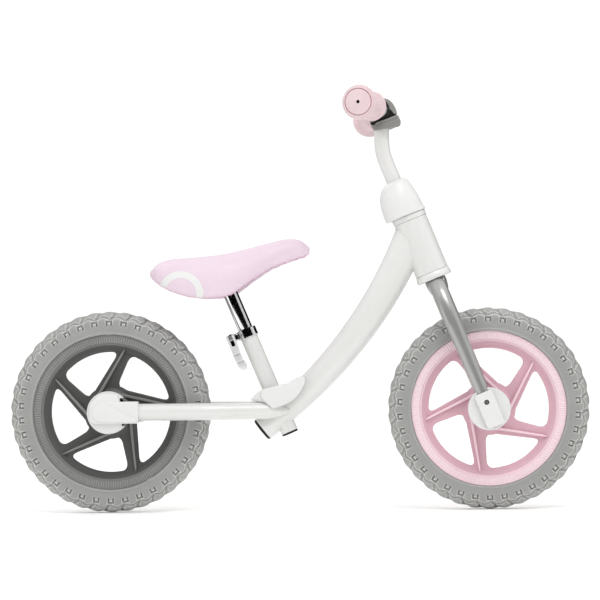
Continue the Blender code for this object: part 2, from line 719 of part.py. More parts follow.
def headset_cover(steering):
    """Dome over the upper bearing, leaning backwards, with the stem tube through it."""
    mesh = turned([
        (14.6 * MM, 365 * MM), (21 * MM, 361 * MM), (29 * MM, 338 * MM), (30.4 * MM, 322 * MM),
        (29 * MM, 311 * MM), (27 * MM, 311 * MM), (28.2 * MM, 322 * MM), (26.8 * MM, 337 * MM),
        (19 * MM, 359 * MM), (14.6 * MM, 362 * MM),
    ], 20)
    keep("headset_cover", mesh, white_plastic(), steering, Matrix.Translation((-2.8 * MM, 0, 0)))


def stem_path():
    """World points: along the steering axis, then bending upright to the bar clamp."""
    base = front_axle_point()
    low = base + steering_direction() * 262 * MM
    bend = base + steering_direction() * 392 * MM
    top = Vector((127 * MM, 0, 568.5 * MM))
    return [low] + bezier(bend, bend + steering_direction() * 22 * MM, top - Vector((0, 0, 30 * MM)), top, 5)


def stem_tube(steering):
    path = stem_path()
    mesh = tube(path, [BAR_RADIUS] * len(path), 12, False)
    mesh.transform(steering.matrix_world.inverted())
    stem = keep("stem_tube", mesh, white_paint(), steering)
    wall = stem.modifiers.new("wall", "SOLIDIFY")
    wall.thickness = BAR_WALL
    wall.offset = -1


def bar_path():
    points = [Vector((BAR_END.x, -BAR_END.y, BAR_END.z))]
    for y in (-BAR_STRAIGHT - 8 * MM, -BAR_STRAIGHT, 0, BAR_STRAIGHT, BAR_STRAIGHT + 8 * MM):
        back = max(0, abs(y) - BAR_STRAIGHT) * 0.05
        points.append(Vector((BAR_CENTRE.x - back, y, BAR_CENTRE.z)))
    return points + [BAR_END.copy()]


def handlebar(clamp_axis):
    path = bar_path()
    mesh = tube(path, [BAR_RADIUS] * len(path), 12, False)
    mesh.transform(clamp_axis.matrix_world.inverted())
    bar = keep("handlebar", mesh, white_paint(), clamp_axis)
    wall = bar.modifiers.new("wall", "SOLIDIFY")
    wall.thickness = BAR_WALL
    wall.offset = -1


def clamp(clamp_axis):
    """Two half clamps around the bar, with a bolt in front of it and one behind it."""
    width = CLAMP_HALF_WIDTH
    across = turn_about("X", pi / 2)
    lower = keep("clamp_lower", block(
        (-25 * MM, -width, -25.5 * MM), (29 * MM, width, -0.6 * MM), 4 * MM, 1,
    ), material("clamp_grey", CLAMP_GREY, 0.4, 0.8), clamp_axis)
    cap = keep("clamp_cap", block(
        (-25 * MM, -width, -5 * MM), (25 * MM, width, 8 * MM), 2 * MM, 1,
    ), material("clamp_grey", CLAMP_GREY, 0.4, 0.8), clamp_axis)
    arch = cylinder(CLAMP_CAP_RADIUS, -(width - 1 * MM), width - 1 * MM, 28, across)
    join(cap, cutter("clamp_cap_arch", arch, clamp_axis))
    below = block((-40 * MM, -40 * MM, -40 * MM), (40 * MM, 40 * MM, 0.6 * MM))
    cut(cap, cutter("clamp_cap_below", below, clamp_axis))
    for part in (lower, cap):
        bore = cylinder(BAR_RADIUS + 2 * GAP, -50 * MM, 50 * MM, 20, across)
        cut(part, cutter(f"{part.name}_bore", bore, clamp_axis))
    for name, x in (("front", CLAMP_BOLT_OFFSET), ("rear", -CLAMP_BOLT_OFFSET)):
        place = Matrix.Translation((x, 0, 0))
        bore = turned([
            (0, 40 * MM), (4.9 * MM, 40 * MM), (4.9 * MM, 8 * MM), (2.9 * MM, 8 * MM), (2.9 * MM, -18 * MM),
            (0, -18 * MM),
        ], 20)
        for part in (lower, cap):
            cut(part, cutter(f"{part.name}_bolt_hole_{name}", bore, clamp_axis, place))
        keep(f"clamp_bolt_{name}", turned([
            (0, 10 * MM), (2.4 * MM, 10 * MM), (2.4 * MM, 12.6 * MM), (4.4 * MM, 12.6 * MM), (4.4 * MM, 8.3 * MM),
            (2.5 * MM, 8.3 * MM), (2.5 * MM, -17.5 * MM), (0, -17.5 * MM),
        ], 14), steel(), clamp_axis, place)
    stem_cut = cylinder(BAR_RADIUS + GAP, -60 * MM, -27.3 * MM, 32)
    place = clamp_axis.matrix_world.inverted() @ Matrix.Translation(Vector((127 * MM, 0, BAR_CENTRE.z)))
    cut(lower, cutter("clamp_lower_stem_seat", stem_cut, clamp_axis, place))


def grip(side, clamp_axis):
    """Ribbed grip with a bumper flange near its outer end and a small vent in its end face."""
    bore = BAR_RADIUS + 0.45 * MM
    mesh = turned([
        (1.5 * MM, 0), (17.5 * MM, 0), (18.8 * MM, -7.5 * MM), (25 * MM, -9.5 * MM), (25 * MM, -12.5 * MM),
        (16 * MM, -17 * MM), (16 * MM, -99 * MM), (21.5 * MM, -100.5 * MM), (21.5 * MM, -104.5 * MM),
        (16 * MM, -106 * MM), (16 * MM, -GRIP_LENGTH), (bore, -GRIP_LENGTH), (bore, -4 * MM), (1.5 * MM, -4 * MM),
    ], 16)
    end = Vector((BAR_END.x, side * BAR_END.y, BAR_END.z))
    start = Vector((BAR_CENTRE.x - 0.4 * MM, side * (BAR_STRAIGHT + 8 * MM), BAR_CENTRE.z))
    outward = (end - start).normalized()
    place = Matrix.Translation(end + outward * 4.4 * MM) @ outward.to_track_quat("Z", "X").to_matrix().to_4x4()
    place = clamp_axis.matrix_world.inverted() @ place
    keep(f"grip_{side_name(side)}", mesh, material("grip_rubber", GRIP_PINK, 0.6), clamp_axis, place)


# --- seat ------------------------------------------------------------------------------------------------------

def saddle_stations():
    """X, top, skirt and half width along the saddle, rear to nose, in millimetres."""
    return [
        (-219, 362, 352, 20), (-210, 373, 342, 42), (-190, 378.5, 330, 58), (-160, 380.5, 320, 66),
        (-130, 382.5, 317, 66), (-100, 386, 321.5, 60), (-84, 389, 331, 54), (-66, 393, 344, 47),
        (-38, 400, 361, 37), (-12, 405.5, 371.5, 28), (8, 402.5, 377.5, 22), (17.5, 393, 384, 14),
    ]


def loft(sections, shift):
    """A closed skin through sections that have the same number of points."""
    mesh = bpy.data.meshes.new("loft")
    bm = bmesh.new()
    rings = [[bm.verts.new(Vector(point) - shift) for point in section] for section in sections]
    count = len(rings[0])
    for first, second in zip(rings, rings[1:]):
        for i in range(count):
            j = (i + 1) % count
            bm.faces.new((first[i], first[j], second[j], second[i]))
    bm.faces.new(rings[0][::-1])
    bm.faces.new(rings[-1])
    bmesh.ops.recalc_face_normals(bm, faces=bm.faces)
    bm.to_mesh(mesh)
    bm.free()
    return mesh


def pad_section(x, top, skirt, half):
    height = top - skirt
    floor = skirt + SADDLE_FLOOR * height
    right = [
        (0, top), (0.5 * half, top - 0.03 * height), (0.85 * half, top - 0.22 * height),
        (1.02 * half, top - 0.6 * height), (0.97 * half, skirt), (SADDLE_SKIRT * half, skirt),
        (0.74 * half, floor), (0.35 * half, floor), (0, floor),
    ]
    left = [(-y, z) for y, z in right[-2:0:-1]]
    return [(x * MM, y * MM, z * MM) for y, z in right + left]


def saddle_pad(seat_slide):
    sections = [pad_section(*station) for station in saddle_stations()]
    mesh = loft(sections, seat_slide.location)
    keep("saddle_pad", mesh, material("saddle_vinyl", SADDLE_PINK, 0.6), seat_slide)


def saddle_base(seat_slide):
    sections = []
    for x, top, skirt, half in saddle_stations()[2:-2]:
        floor = skirt + SADDLE_FLOOR * (top - skirt)
        reach = 0.58 * half
        corners = [(-reach, floor - 6), (reach, floor - 6), (reach, floor - 1.5), (-reach, floor - 1.5)]
        sections.append([(x * MM, y * MM, z * MM) for y, z in corners])
    base = keep("saddle_base", loft(sections, seat_slide.location), black_plastic(), seat_slide)
    for hole, place in saddle_screw_places():
        cut(base, cutter(f"saddle_base_hole_{hole}", cylinder(2.6 * MM, -30 * MM, 5.1 * MM, 12), seat_slide, place))


def bracket_frame():
    """Axes of the saddle bracket's plate: its top lies just under the saddle base."""
    return Matrix.Translation(BRACKET_PLACE)


def saddle_screw_places():
    """Front and rear screw, in the seat's axes."""
    frame = bracket_frame()
    return [(name, frame @ Matrix.Translation((x, 0, 0))) for name, x in (("front", -4 * MM), ("rear", -22 * MM))]


def seat_post(seat_slide):
    axis = turn_about("Y", -SEAT_ANGLE)
    wall = POST_RADIUS - 1.6 * MM
    keep("seat_post", turned([
        (0, POST_ABOVE), (POST_RADIUS, POST_ABOVE), (POST_RADIUS, -POST_BELOW), (wall, -POST_BELOW),
        (wall, POST_ABOVE - 2 * MM), (0, POST_ABOVE - 2 * MM),
    ], 24), chrome(), seat_slide, axis)


def saddle_bracket(seat_slide):
    """Socket on the seat post's top with a plate that the saddle base is screwed to."""
    axis = turn_about("Y", -SEAT_ANGLE)
    plate = block((-28 * MM, -15 * MM, -6 * MM), (27 * MM, 15 * MM, PLATE_TOP))
    bracket = keep("saddle_bracket", plate, steel(), seat_slide, bracket_frame())
    socket = cylinder(14.5 * MM, POST_ABOVE - 7 * MM, POST_ABOVE + 9 * MM, 24)
    join(bracket, cutter("saddle_bracket_socket", socket, seat_slide, axis))
    bore = cylinder(POST_RADIUS + 0.45 * MM, POST_ABOVE - 20 * MM, POST_ABOVE + 0.3 * MM, 24)
    cut(bracket, cutter("saddle_bracket_bore", bore, seat_slide, axis))
    above = block((-60 * MM, -40 * MM, PLATE_TOP), (60 * MM, 40 * MM, 30 * MM))
    cut(bracket, cutter("saddle_bracket_top", above, seat_slide, bracket_frame()))
    for name, place in saddle_screw_places():
        hole = cylinder(2.6 * MM, -30 * MM, 10 * MM, 16)
        cut(bracket, cutter(f"saddle_bracket_hole_{name}", hole, seat_slide, place))
        keep(f"saddle_screw_{name}", turned([
            (0, 4.6 * MM), (2.2 * MM, 4.6 * MM), (2.2 * MM, -6.3 * MM), (4.6 * MM, -6.3 * MM), (4.6 * MM, -9 * MM),
            (0, -9 * MM),
        ], 12), steel(), seat_slide, place)


# --- assembly --------------------------------------------------------------------------------------------------

for old in list(bpy.data.objects):
    bpy.data.objects.remove(old)
PARTS = new_collection("balance_bike")
CUTTERS = new_collection("cutters")

head_frame = empty("head_axis", front_axle_point(), (0, -STEERING_ANGLE, 0))
steering_frame = empty("steering_axis", front_axle_point(), (0, -STEERING_ANGLE, 0))
rear_frame = empty("rear_axis", rear_axle_point(), (0, pi / 2, 0))
seat_frame = empty("seat_axis", SEAT_POINT, (0, -SEAT_ANGLE, 0))
seat_slide_frame = empty("seat_slide", SEAT_POINT, (0, 0, 0))
lever_offset = Matrix.Rotation(-SEAT_ANGLE, 3, "Y") @ Vector((SKEWER_OFFSET, CAM_CENTRE, SKEWER_HEIGHT))
lever_frame = empty("lever_axis", SEAT_POINT + lever_offset, (0, -SEAT_ANGLE, 0))
clamp_frame = empty("clamp_axis", BAR_CENTRE, (0, CLAMP_TILT, 0))
bpy.context.view_layer.update()

main_tube(head_frame, seat_frame)
main_tube_plug()
seat_tube(seat_frame)
seat_tube_plug(seat_frame)
junction_cover(seat_frame)
head_set(head_frame)
axle("rear_axle", rear_frame)
seat_collar(seat_frame)
skewer(seat_frame)
quick_release_lever(lever_frame)
for bike_side in (-1, 1):
    end_name = side_name(bike_side)
    chain_stay(bike_side, rear_frame, seat_frame)
    axle_nut(f"rear_axle_nut_{end_name}", bike_side, rear_frame)
    hub_cover(
        f"rear_hub_cover_{end_name}", bike_side, rear_frame, STAY_RADIUS, 16.2 * MM, 45.5 * MM, False,
    )
    fork_leg(bike_side, steering_frame)
    axle_nut(f"front_axle_nut_{end_name}", bike_side, steering_frame)
    hub_cover(
        f"front_hub_cover_{end_name}", bike_side, steering_frame, LEG_LOW_RADIUS + 0.4 * MM, 13.8 * MM,
        20.5 * MM, True,
    )
    cover_screw(f"front_cover_screw_{end_name}", bike_side, steering_frame)
    grip(bike_side, clamp_frame)
fork_steerer(steering_frame)
axle("front_axle", steering_frame)
headset_cover(steering_frame)
stem_tube(steering_frame)
clamp(clamp_frame)
handlebar(clamp_frame)
wheel("rear", rear_axle_point(), None, CHARCOAL, REAR_SPOKE_ANGLE, False)
wheel("front", front_axle_point(), steering_frame, RIM_PINK, FRONT_SPOKE_ANGLE, True)
seat_post(seat_slide_frame)
saddle_bracket(seat_slide_frame)
saddle_base(seat_slide_frame)
saddle_pad(seat_slide_frame)
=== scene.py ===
from math import cos, pi, radians, sin, sqrt

import bmesh
import bpy
import numpy as np
from mathutils import Matrix, Vector
from mathutils.bvhtree import BVHTree


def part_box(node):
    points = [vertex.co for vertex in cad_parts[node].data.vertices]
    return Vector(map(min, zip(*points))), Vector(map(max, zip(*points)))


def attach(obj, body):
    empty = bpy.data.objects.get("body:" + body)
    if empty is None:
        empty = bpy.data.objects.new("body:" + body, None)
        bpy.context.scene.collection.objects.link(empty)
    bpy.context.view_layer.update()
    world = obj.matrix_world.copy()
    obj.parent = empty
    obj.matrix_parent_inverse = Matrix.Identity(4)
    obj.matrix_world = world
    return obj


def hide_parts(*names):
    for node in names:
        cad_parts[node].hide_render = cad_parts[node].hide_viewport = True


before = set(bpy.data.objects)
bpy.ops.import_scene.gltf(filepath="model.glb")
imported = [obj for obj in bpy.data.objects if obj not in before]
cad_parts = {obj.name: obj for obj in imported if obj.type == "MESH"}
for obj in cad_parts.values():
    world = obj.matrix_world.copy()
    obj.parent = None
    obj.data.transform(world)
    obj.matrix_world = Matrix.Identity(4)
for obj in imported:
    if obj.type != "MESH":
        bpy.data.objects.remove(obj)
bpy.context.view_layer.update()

# A balance bike with foam tyres, spoked plastic rims, a white steel frame, a grey fork and a vinyl saddle.
# +X forward, +Y the rider's left, +Z up. Shapes are built in millimetres, and piece() scales them to metres;
# materials, lights and the camera are in metres.
MM = 0.001


def middle(node):
    """The middle of a CAD node's box, in millimetres."""
    low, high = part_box(node)
    return (low + high) / 2 / MM


# --- driving dimensions ---

FRONT_AXLE = middle("front_axle")
REAR_AXLE = middle("rear_axle")
WHEEL_RADIUS = FRONT_AXLE.z
TIP_CENTRE = 44
TIP_THICKNESS = 5
CHANNEL_FACE = 59
COVER_WALL = 2
TREAD_BLOCKS = 38
SPOKES = 5
SERRATIONS = 188

STEERING_TILT = radians(22)
SEAT_TILT = radians(22.6)
SEAT_POINT = Vector((-74, 0, 259))
BAR_CENTRE = Vector((125, 0, 596))
BAR_END = Vector((101, 190, 594.5))
BAR_STRAIGHT = 38
CLAMP_TILT = radians(-20)
MAIN_BEZIER = [Vector((x, 0, z)) for x, z in ((-54.5, 122.4), (29, 188), (115, 275), (171, 412))]
MAIN_RADII = (18.2, 24.8)
MAIN_FLATTEN = 0.85

STEERING = Matrix.Translation(FRONT_AXLE) @ Matrix.Rotation(-STEERING_TILT, 4, "Y")
REAR_END = Matrix.Translation(REAR_AXLE) @ Matrix.Rotation(pi / 2, 4, "Y")
SEAT = Matrix.Translation(SEAT_POINT) @ Matrix.Rotation(-SEAT_TILT, 4, "Y")
CLAMP = Matrix.Translation(BAR_CENTRE) @ Matrix.Rotation(CLAMP_TILT, 4, "Y")
UPRIGHT = Matrix.Rotation(pi / 2, 4, "X")
BAR_TURN = (Matrix.Translation(BAR_CENTRE - Vector((0, 0,
                                                    1))) @ Matrix.Rotation(radians(-1.3), 4, "Z")
            @ Matrix.Rotation(radians(-0.6), 4, "X") @ Matrix.Translation(-BAR_CENTRE))
LEVER = SEAT @ Matrix.Translation((-25, -14.8, 8))


def side_name(side):
    return "right" if side < 0 else "left"


def along_y(side):
    """Turns local +Z to point out of the bike: side -1 is its right, 1 its left."""
    return Matrix.Rotation(-side * pi / 2, 4, "X")


def round_angles(count):
    """Evenly spaced angles once round a circle."""
    return [2 * pi * k / count for k in range(count)]


def upright(side, distance):
    """Stands a flat plate up along the bike, at a distance out to one side."""
    return Matrix.Translation((0, side * distance, 0)) @ UPRIGHT


# --- shader maths ---

def rgb(red, green, blue):
    """A display colour, 0 to 255, as the linear colour that a shader takes."""
    linear = [c / 12.92 if c <= 0.04045 else ((c + 0.055) / 1.055) ** 2.4
              for c in (red / 255, green / 255, blue / 255)]
    return (*linear, 1.0)


class Value:
    """One shader socket; sums, products and comparisons of values add their Math nodes."""

    def __init__(self, shade, socket):
        self.shade = shade
        self.socket = socket

    def maths(self, operation, *others):
        return self.shade.node("ShaderNodeMath", {"operation": operation}, self, *others)

    def __add__(self, other):
        return self.maths("ADD", other)

    __radd__ = __add__

    def __mul__(self, other):
        return self.maths("MULTIPLY", other)

    __rmul__ = __mul__

    def __sub__(self, other):
        return self.maths("SUBTRACT", other)

    def __rsub__(self, other):
        return self.shade.node("ShaderNodeMath", {"operation": "SUBTRACT"}, other, self)

    def __pow__(self, other):
        return self.maths("POWER", other)

    def __abs__(self):
        return self.maths("ABSOLUTE")

    def sine(self):
        return self.maths("SINE")

    def ramp(self, low, high):
        """0 at low and below, 1 at high and above, smooth between."""
        settings = {"interpolation_type": "SMOOTHSTEP", "clamp": True}
        return self.shade.node("ShaderNodeMapRange", settings, self, low, high)


class Tree:
    """A node tree of shader maths, placed by one kind of texture coordinate."""

    def __init__(self, tree, coordinate):
        self.tree = tree
        self.place = self.node("ShaderNodeTexCoord", {}, out=coordinate)

    def node(self, kind, settings, *values, out=None, **named):
        """Add a node: its settings, then its sockets' values or links; gives its first output, or out."""
        made = self.tree.nodes.new(kind)
        for setting, value in settings.items():
            setattr(made, setting, value)
        free = [socket for socket in made.inputs if socket.enabled]
        chosen = [(made.inputs[key], value) for key, value in named.items()]
        for socket, value in [*zip(free, values), *chosen]:
            if isinstance(value, Value):
                self.tree.links.new(value.socket, socket)
            else:
                socket.default_value = value
        first = next(socket for socket in made.outputs if socket.enabled)
        return Value(self, made.outputs[out] if out else first)

    def noise(self, scale, detail=3.0, roughness=0.55, stretch=None, distortion=0.0):
        """Cloudy noise, 0 to 1; scale is in patches per metre, and stretch squeezes it along an axis."""
        place = self.place
        if stretch is not None:
            place = self.node("ShaderNodeVectorMath", {"operation": "MULTIPLY"}, place, stretch)
        return self.node("ShaderNodeTexNoise", {}, out="Fac", Vector=place, Scale=scale, Detail=detail,
                         Roughness=roughness, Distortion=distortion)

    def cells(self, scale):
        """Distance from the nearest of many scattered points, for leather grain and foam."""
        return self.node("ShaderNodeTexVoronoi", {}, out="Distance", Vector=self.place, Scale=scale)

    def axis(self, name):
        return self.node("ShaderNodeSeparateXYZ", {}, self.place, out=name)

    def mix(self, factor, first, second):
        return self.node("ShaderNodeMix", {"data_type": "RGBA"}, factor, first, second)


class Shade(Tree):
    """One procedural material and the nodes that feed its surface."""

    def __init__(self, name, roughness=0.5, metallic=0.0, coat=0.0, coat_roughness=0.1, specular=0.5,
                 sheen=0.0, glow=0.0):
        self.material = bpy.data.materials.new(name)
        self.material.use_nodes = True
        super().__init__(self.material.node_tree, "Object")
        self.surface = self.tree.nodes["Principled BSDF"]
        constants = {
            "Roughness": roughness, "Metallic": metallic, "Specular IOR Level": specular,
            "Coat Weight": coat, "Coat Roughness": coat_roughness, "Sheen Weight": sheen,
            "Emission Strength": glow, "Emission Color": (1, 1, 1, 1),
        }
        for socket, value in constants.items():
            self.surface.inputs[socket].default_value = value
        self.height = None

    def pointed(self):
        """Above 0.5 on outer edges, below in grooves."""
        return self.node("ShaderNodeNewGeometry", {}, out="Pointiness")

    def edges(self):
        """1 on worn outer edges, broken up by noise."""
        return self.pointed().ramp(0.53, 0.62) * self.noise(420, 4.0).ramp(0.42, 0.6)

    def feed(self, socket, value):
        self.tree.links.new(value.socket, self.surface.inputs[socket])

    def bump(self, height, distance, strength=1.0):
        """Add a layer of relief: height 0 to 1 stands for a distance in metres."""
        named = {"Height": height, "Distance": distance, "Strength": strength}
        if self.height is not None:
            named["Normal"] = self.height
        self.height = self.node("ShaderNodeBump", {}, out="Normal", **named)
        self.feed("Normal", self.height)


def paint(name, colour, dusty, worn, roughness, coat, metallic=0.0):
    """Sprayed gloss paint: orange peel, a little dust and rubbed edges."""
    shade = Shade(name, roughness, metallic, coat, 0.08)
    peel = 0.05 * MM
    dust = shade.noise(9, 4.0).ramp(0.45, 0.8) * 0.5
    tone = shade.mix(dust, rgb(*colour), rgb(*dusty))
    shade.feed("Base Color", shade.mix(shade.edges() * 0.55, tone, rgb(*worn)))
    shade.feed("Roughness", roughness + shade.noise(60, 3.0) * 0.09 + dust * 0.1)
    shade.bump(shade.noise(700, 2.0), peel, 0.35)
    shade.bump(shade.noise(140, 2.0), peel * 2, 0.25)
    return shade.material


def moulded(name, colour, deep, worn, roughness, specular=0.45):
    """Injection-moulded plastic: fine spark-eroded grain, flow tone and pale rubbed edges."""
    shade = Shade(name, roughness, specular=specular)
    flow = shade.noise(14, 3.0, distortion=0.8).ramp(0.35, 0.75)
    tone = shade.mix(flow * 0.55, rgb(*colour), rgb(*deep))
    shade.feed("Base Color", shade.mix(shade.edges() * 0.6, tone, rgb(*worn)))
    shade.feed("Roughness", roughness + shade.noise(45, 4.0) * 0.14 - 0.07)
    shade.bump(shade.noise(900, 3.0, 0.7), 0.06 * MM, 0.5)
    return shade.material


def plated(name, colour, tarnish, roughness, swing, metallic=1.0):
    """Bare or plated metal: hairline scratches, smudges and darker tarnish."""
    shade = Shade(name, roughness, metallic)
    smudge = shade.noise(35, 4.0).ramp(0.45, 0.75)
    shade.feed("Base Color", shade.mix(smudge * 0.5, rgb(*colour), rgb(*tarnish)))
    hairlines = shade.noise(260, 5.0, 0.7, stretch=(1, 8, 1))
    shade.feed("Roughness", roughness + hairlines * swing + smudge * swing * 0.6)
    shade.bump(hairlines, 0.012 * MM, 0.35)
    return shade.material


def rim_plastic(name, axle, band, wall_shade, web, shadow, blade, pale):
    """Moulded rim: painted shade deepening in to the web, painted highlights on its blades and band ridges.
    """
    shade = Shade(name, 0.42, specular=0.45)
    across, up = shade.axis("X") - axle.x * MM, shade.axis("Z") - axle.z * MM
    reach = (across * across + up * up) ** 0.5
    depth = abs(shade.axis("Y"))
    flow = shade.noise(14, 3.0, distortion=0.8).ramp(0.35, 0.75)
    # The web darkens towards its window edges: painted shade.
    tone = shade.mix(depth.ramp(4.4 * MM, 6.1 * MM), rgb(*shadow), rgb(*web))
    # Raised blades paler than the web: painted highlight.
    tone = shade.mix(depth.ramp(8 * MM, 10.2 * MM), tone, rgb(*blade))
    # Sloped wall darker than the band: painted shade.
    tone = shade.mix(reach.ramp(93 * MM, 96 * MM) * (1 - depth.ramp(13 * MM, 14 * MM)), tone, rgb(*wall_shade))
    tone = shade.mix(reach.ramp(99.5 * MM, 102.5 * MM), tone, rgb(*band))
    # Pale stripes on the band's fine ridges: painted highlights.
    turn = shade.node("ShaderNodeMath", {"operation": "ARCTAN2"}, up, across)
    ridge_highlights = (turn * SERRATIONS + pi / 2).sine().ramp(0.1, 0.8)
    ridge_highlights = ridge_highlights * reach.ramp(103.2 * MM, 104 * MM) * (1 - reach.ramp(111.4 * MM, 112.2 * MM))
    tone = shade.mix(ridge_highlights * 0.75, tone, rgb(*pale))
    tone = shade.mix(flow * 0.2, tone, rgb(*web))
    shade.feed("Base Color", shade.mix(shade.edges() * 0.5, tone, rgb(*pale)))
    shade.feed("Roughness", 0.36 + shade.noise(45, 4.0) * 0.14)
    shade.bump(shade.noise(900, 3.0, 0.7), 0.06 * MM, 0.5)
    return shade.material


def tyre_foam():
    """Closed-cell foam: speckled skin, mould sheen, painted shade in grooves, pale edges part wear, part
    highlight.
    """
    shade = Shade("foam tyre grey", 0.45, specular=0.5)
    speckle = shade.noise(1500, 2.0, 0.6)
    cloud = shade.noise(22, 4.0).ramp(0.35, 0.7)
    tone = shade.mix(cloud * 0.6, rgb(148, 148, 146), rgb(138, 138, 136))
    tone = shade.mix(speckle.ramp(0.5, 0.75) * 0.35, tone, rgb(172, 172, 169))
    pointed = shade.pointed()
    # Darker in the grooves and notches: painted shade.
    tone = shade.mix(pointed.ramp(0.4, 0.485), rgb(120, 120, 118), tone)
    # Paler on the tread's raised edges: partly rubbed wear, partly painted highlight.
    shade.feed("Base Color", shade.mix(pointed.ramp(0.503, 0.56) * 0.9, tone, rgb(204, 204, 201)))
    shade.feed("Roughness", 0.34 + cloud * 0.12 + speckle * 0.12)
    shade.bump(shade.cells(900), 0.1 * MM, 0.3)
    shade.bump(speckle, 0.08 * MM, 0.35)
    return shade.material


def grip_rubber():
    shade = Shade("grip rubber pink", 0.55, specular=0.35, sheen=0.05)
    cloud = shade.noise(30, 4.0).ramp(0.3, 0.75)
    tone = shade.mix(cloud * 0.5, rgb(212, 191, 194), rgb(205, 178, 183))
    pointed = shade.pointed()
    # Darker in the grooves between the ribs: painted shade.
    tone = shade.mix(pointed.ramp(0.42, 0.49), rgb(178, 122, 132), tone)
    shade.feed("Base Color", shade.mix(shade.edges() * 0.5, tone, rgb(224, 204, 208)))
    shade.feed("Roughness", 0.5 + shade.noise(200, 3.0) * 0.16)
    shade.bump(shade.cells(1400), 0.12 * MM, 0.35)
    return shade.material


BAND_CENTRE = Vector((-171.6 * MM, 0, 323.7 * MM))
BAND_INNER = 23.9 * MM
BAND_OUTER = 34.5 * MM


def saddle_vinyl():
    """Soft embossed vinyl with a pale half-ring band on each rear side."""
    shade = Shade("saddle vinyl pink", 0.5, specular=0.4, sheen=0.08)
    across = shade.axis("X") - BAND_CENTRE.x
    up = shade.axis("Z") - BAND_CENTRE.z
    reach = (across * across + up * up) ** 0.5
    edge = 0.4 * MM
    band = reach.ramp(BAND_INNER - edge, BAND_INNER + edge) * (1 - reach.ramp(BAND_OUTER - edge, BAND_OUTER
                                                                              + edge))
    outward = abs(shade.axis("Y")).ramp(20 * MM, 24 * MM)
    band = band * outward
    cloud = shade.noise(26, 4.0).ramp(0.3, 0.75)
    tone = shade.mix(cloud * 0.5, rgb(217, 199, 211), rgb(212, 190, 204))
    tone = shade.mix(shade.cells(1100).ramp(0.02, 0.35), rgb(206, 181, 196), tone)
    shade.feed("Base Color", shade.mix(band, tone, rgb(217, 217, 216)))
    shade.feed("Roughness", 0.46 + cloud * 0.08 + shade.noise(300, 3.0) * 0.1)
    shade.bump(shade.cells(1100), 0.22 * MM, 0.45)
    shade.bump(shade.noise(2400, 2.0), 0.05 * MM, 0.4)
    shade.bump(band, 0.5 * MM, 0.8)
    return shade.material


FINISHES = {
    "white_paint": paint("white frame paint", (214, 214, 212), (208, 208, 205), (198, 198, 196), 0.3, 0.5),
    "white_plastic": moulded("white plastic", (217, 217, 216), (211, 211, 209), (226, 226, 225), 0.38),
    "black_plastic": moulded("black plastic", (16, 16, 16), (24, 24, 24), (60, 60, 60), 0.45, 0.25),
    "chrome": plated("chrome plate", (226, 226, 228), (206, 206, 210), 0.05, 0.1),
    "steel": plated("zinc plated steel", (178, 178, 180), (140, 140, 140), 0.26, 0.22),
    "satin_grey": paint("fork paint", (168, 168, 166), (158, 158, 155), (196, 196, 194), 0.26, 0.5, 0.5),
    "clamp_grey": plated("cast clamp alloy", (146, 144, 141), (124, 122, 119), 0.4, 0.2, 0.4),
    "foam_tyre": tyre_foam(),
    # Rim tones: shadow, web and wall shade are painted shade; blade and pale are painted highlight, pale also
    # rubbed edges.
    "front_rim": rim_plastic(
        "pink rim plastic", FRONT_AXLE, band=(224, 198, 206), wall_shade=(208, 172, 184), web=(206, 164, 176),
        shadow=(176, 124, 138), blade=(236, 206, 215), pale=(238, 220, 226),
    ),
    "rear_rim": rim_plastic(
        "charcoal rim plastic", REAR_AXLE, band=(118, 119, 117), wall_shade=(84, 85, 83), web=(74, 75, 73),
        shadow=(38, 39, 38), blade=(126, 127, 125), pale=(150, 151, 149),
    ),
    "grip_rubber": grip_rubber(),
    "saddle_vinyl": saddle_vinyl(),
}
SEAM_PINK = moulded("seam piping pink", (212, 174, 192), (204, 164, 183), (220, 186, 202), 0.5)
SATIN_CHROME = plated("satin chrome plate", (220, 220, 220), (206, 206, 206), 0.3, 0.15, 0.3)
# Black that paints the shade inside holes, slots and behind the hub caps' notches; the reflection-only cards
# use it too.
PAINTED_SHADE_BLACK = moulded("painted shade black", (3, 3, 3), (5, 5, 5), (6, 6, 6), 0.9, 0.0)


# --- mesh making ---

def into_scene(name, data):
    obj = bpy.data.objects.new(name, data)
    bpy.context.scene.collection.objects.link(obj)
    return obj


def piece(name, mesh, finish, body, stands_for=(), corner=35):
    """Scale a finished mesh to metres and put it on its body, in place of the CAD nodes it stands for."""
    mesh.transform(Matrix.Scale(MM, 4))
    obj = into_scene(name, mesh)
    finishes = [finish] if isinstance(finish, str) else list(finish)
    for entry in finishes:
        mesh.materials.append(FINISHES[entry] if isinstance(entry, str) else entry)
    mesh.shade_smooth()
    mesh.set_sharp_from_angle(angle=radians(corner))
    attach(obj, body)
    if stands_for:
        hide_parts(*stands_for)
    return obj


def from_bmesh(bm, matrix=None):
    mesh = bpy.data.meshes.new("shape")
    if matrix is not None:
        bmesh.ops.transform(bm, matrix=matrix, verts=bm.verts)
    bmesh.ops.recalc_face_normals(bm, faces=bm.faces)
    bm.to_mesh(mesh)
    bm.free()
    return mesh


def lattice(rings, closed_along=False, matrix=None):
    """A skin through rings of points; every ring is a closed loop with the same number of points."""
    bm = bmesh.new()
    loops = [[bm.verts.new(point) for point in ring] for ring in rings]
    pairs = list(zip(loops, loops[1:])) + ([(loops[-1], loops[0])] if closed_along else [])
    for first, second in pairs:
        for i in range(len(first)):
            j = (i + 1) % len(first)
            bm.faces.new((first[i], first[j], second[j], second[i]))
    if not closed_along:
        bm.faces.new(loops[0][::-1])
        bm.faces.new(loops[-1])
    return from_bmesh(bm, matrix)


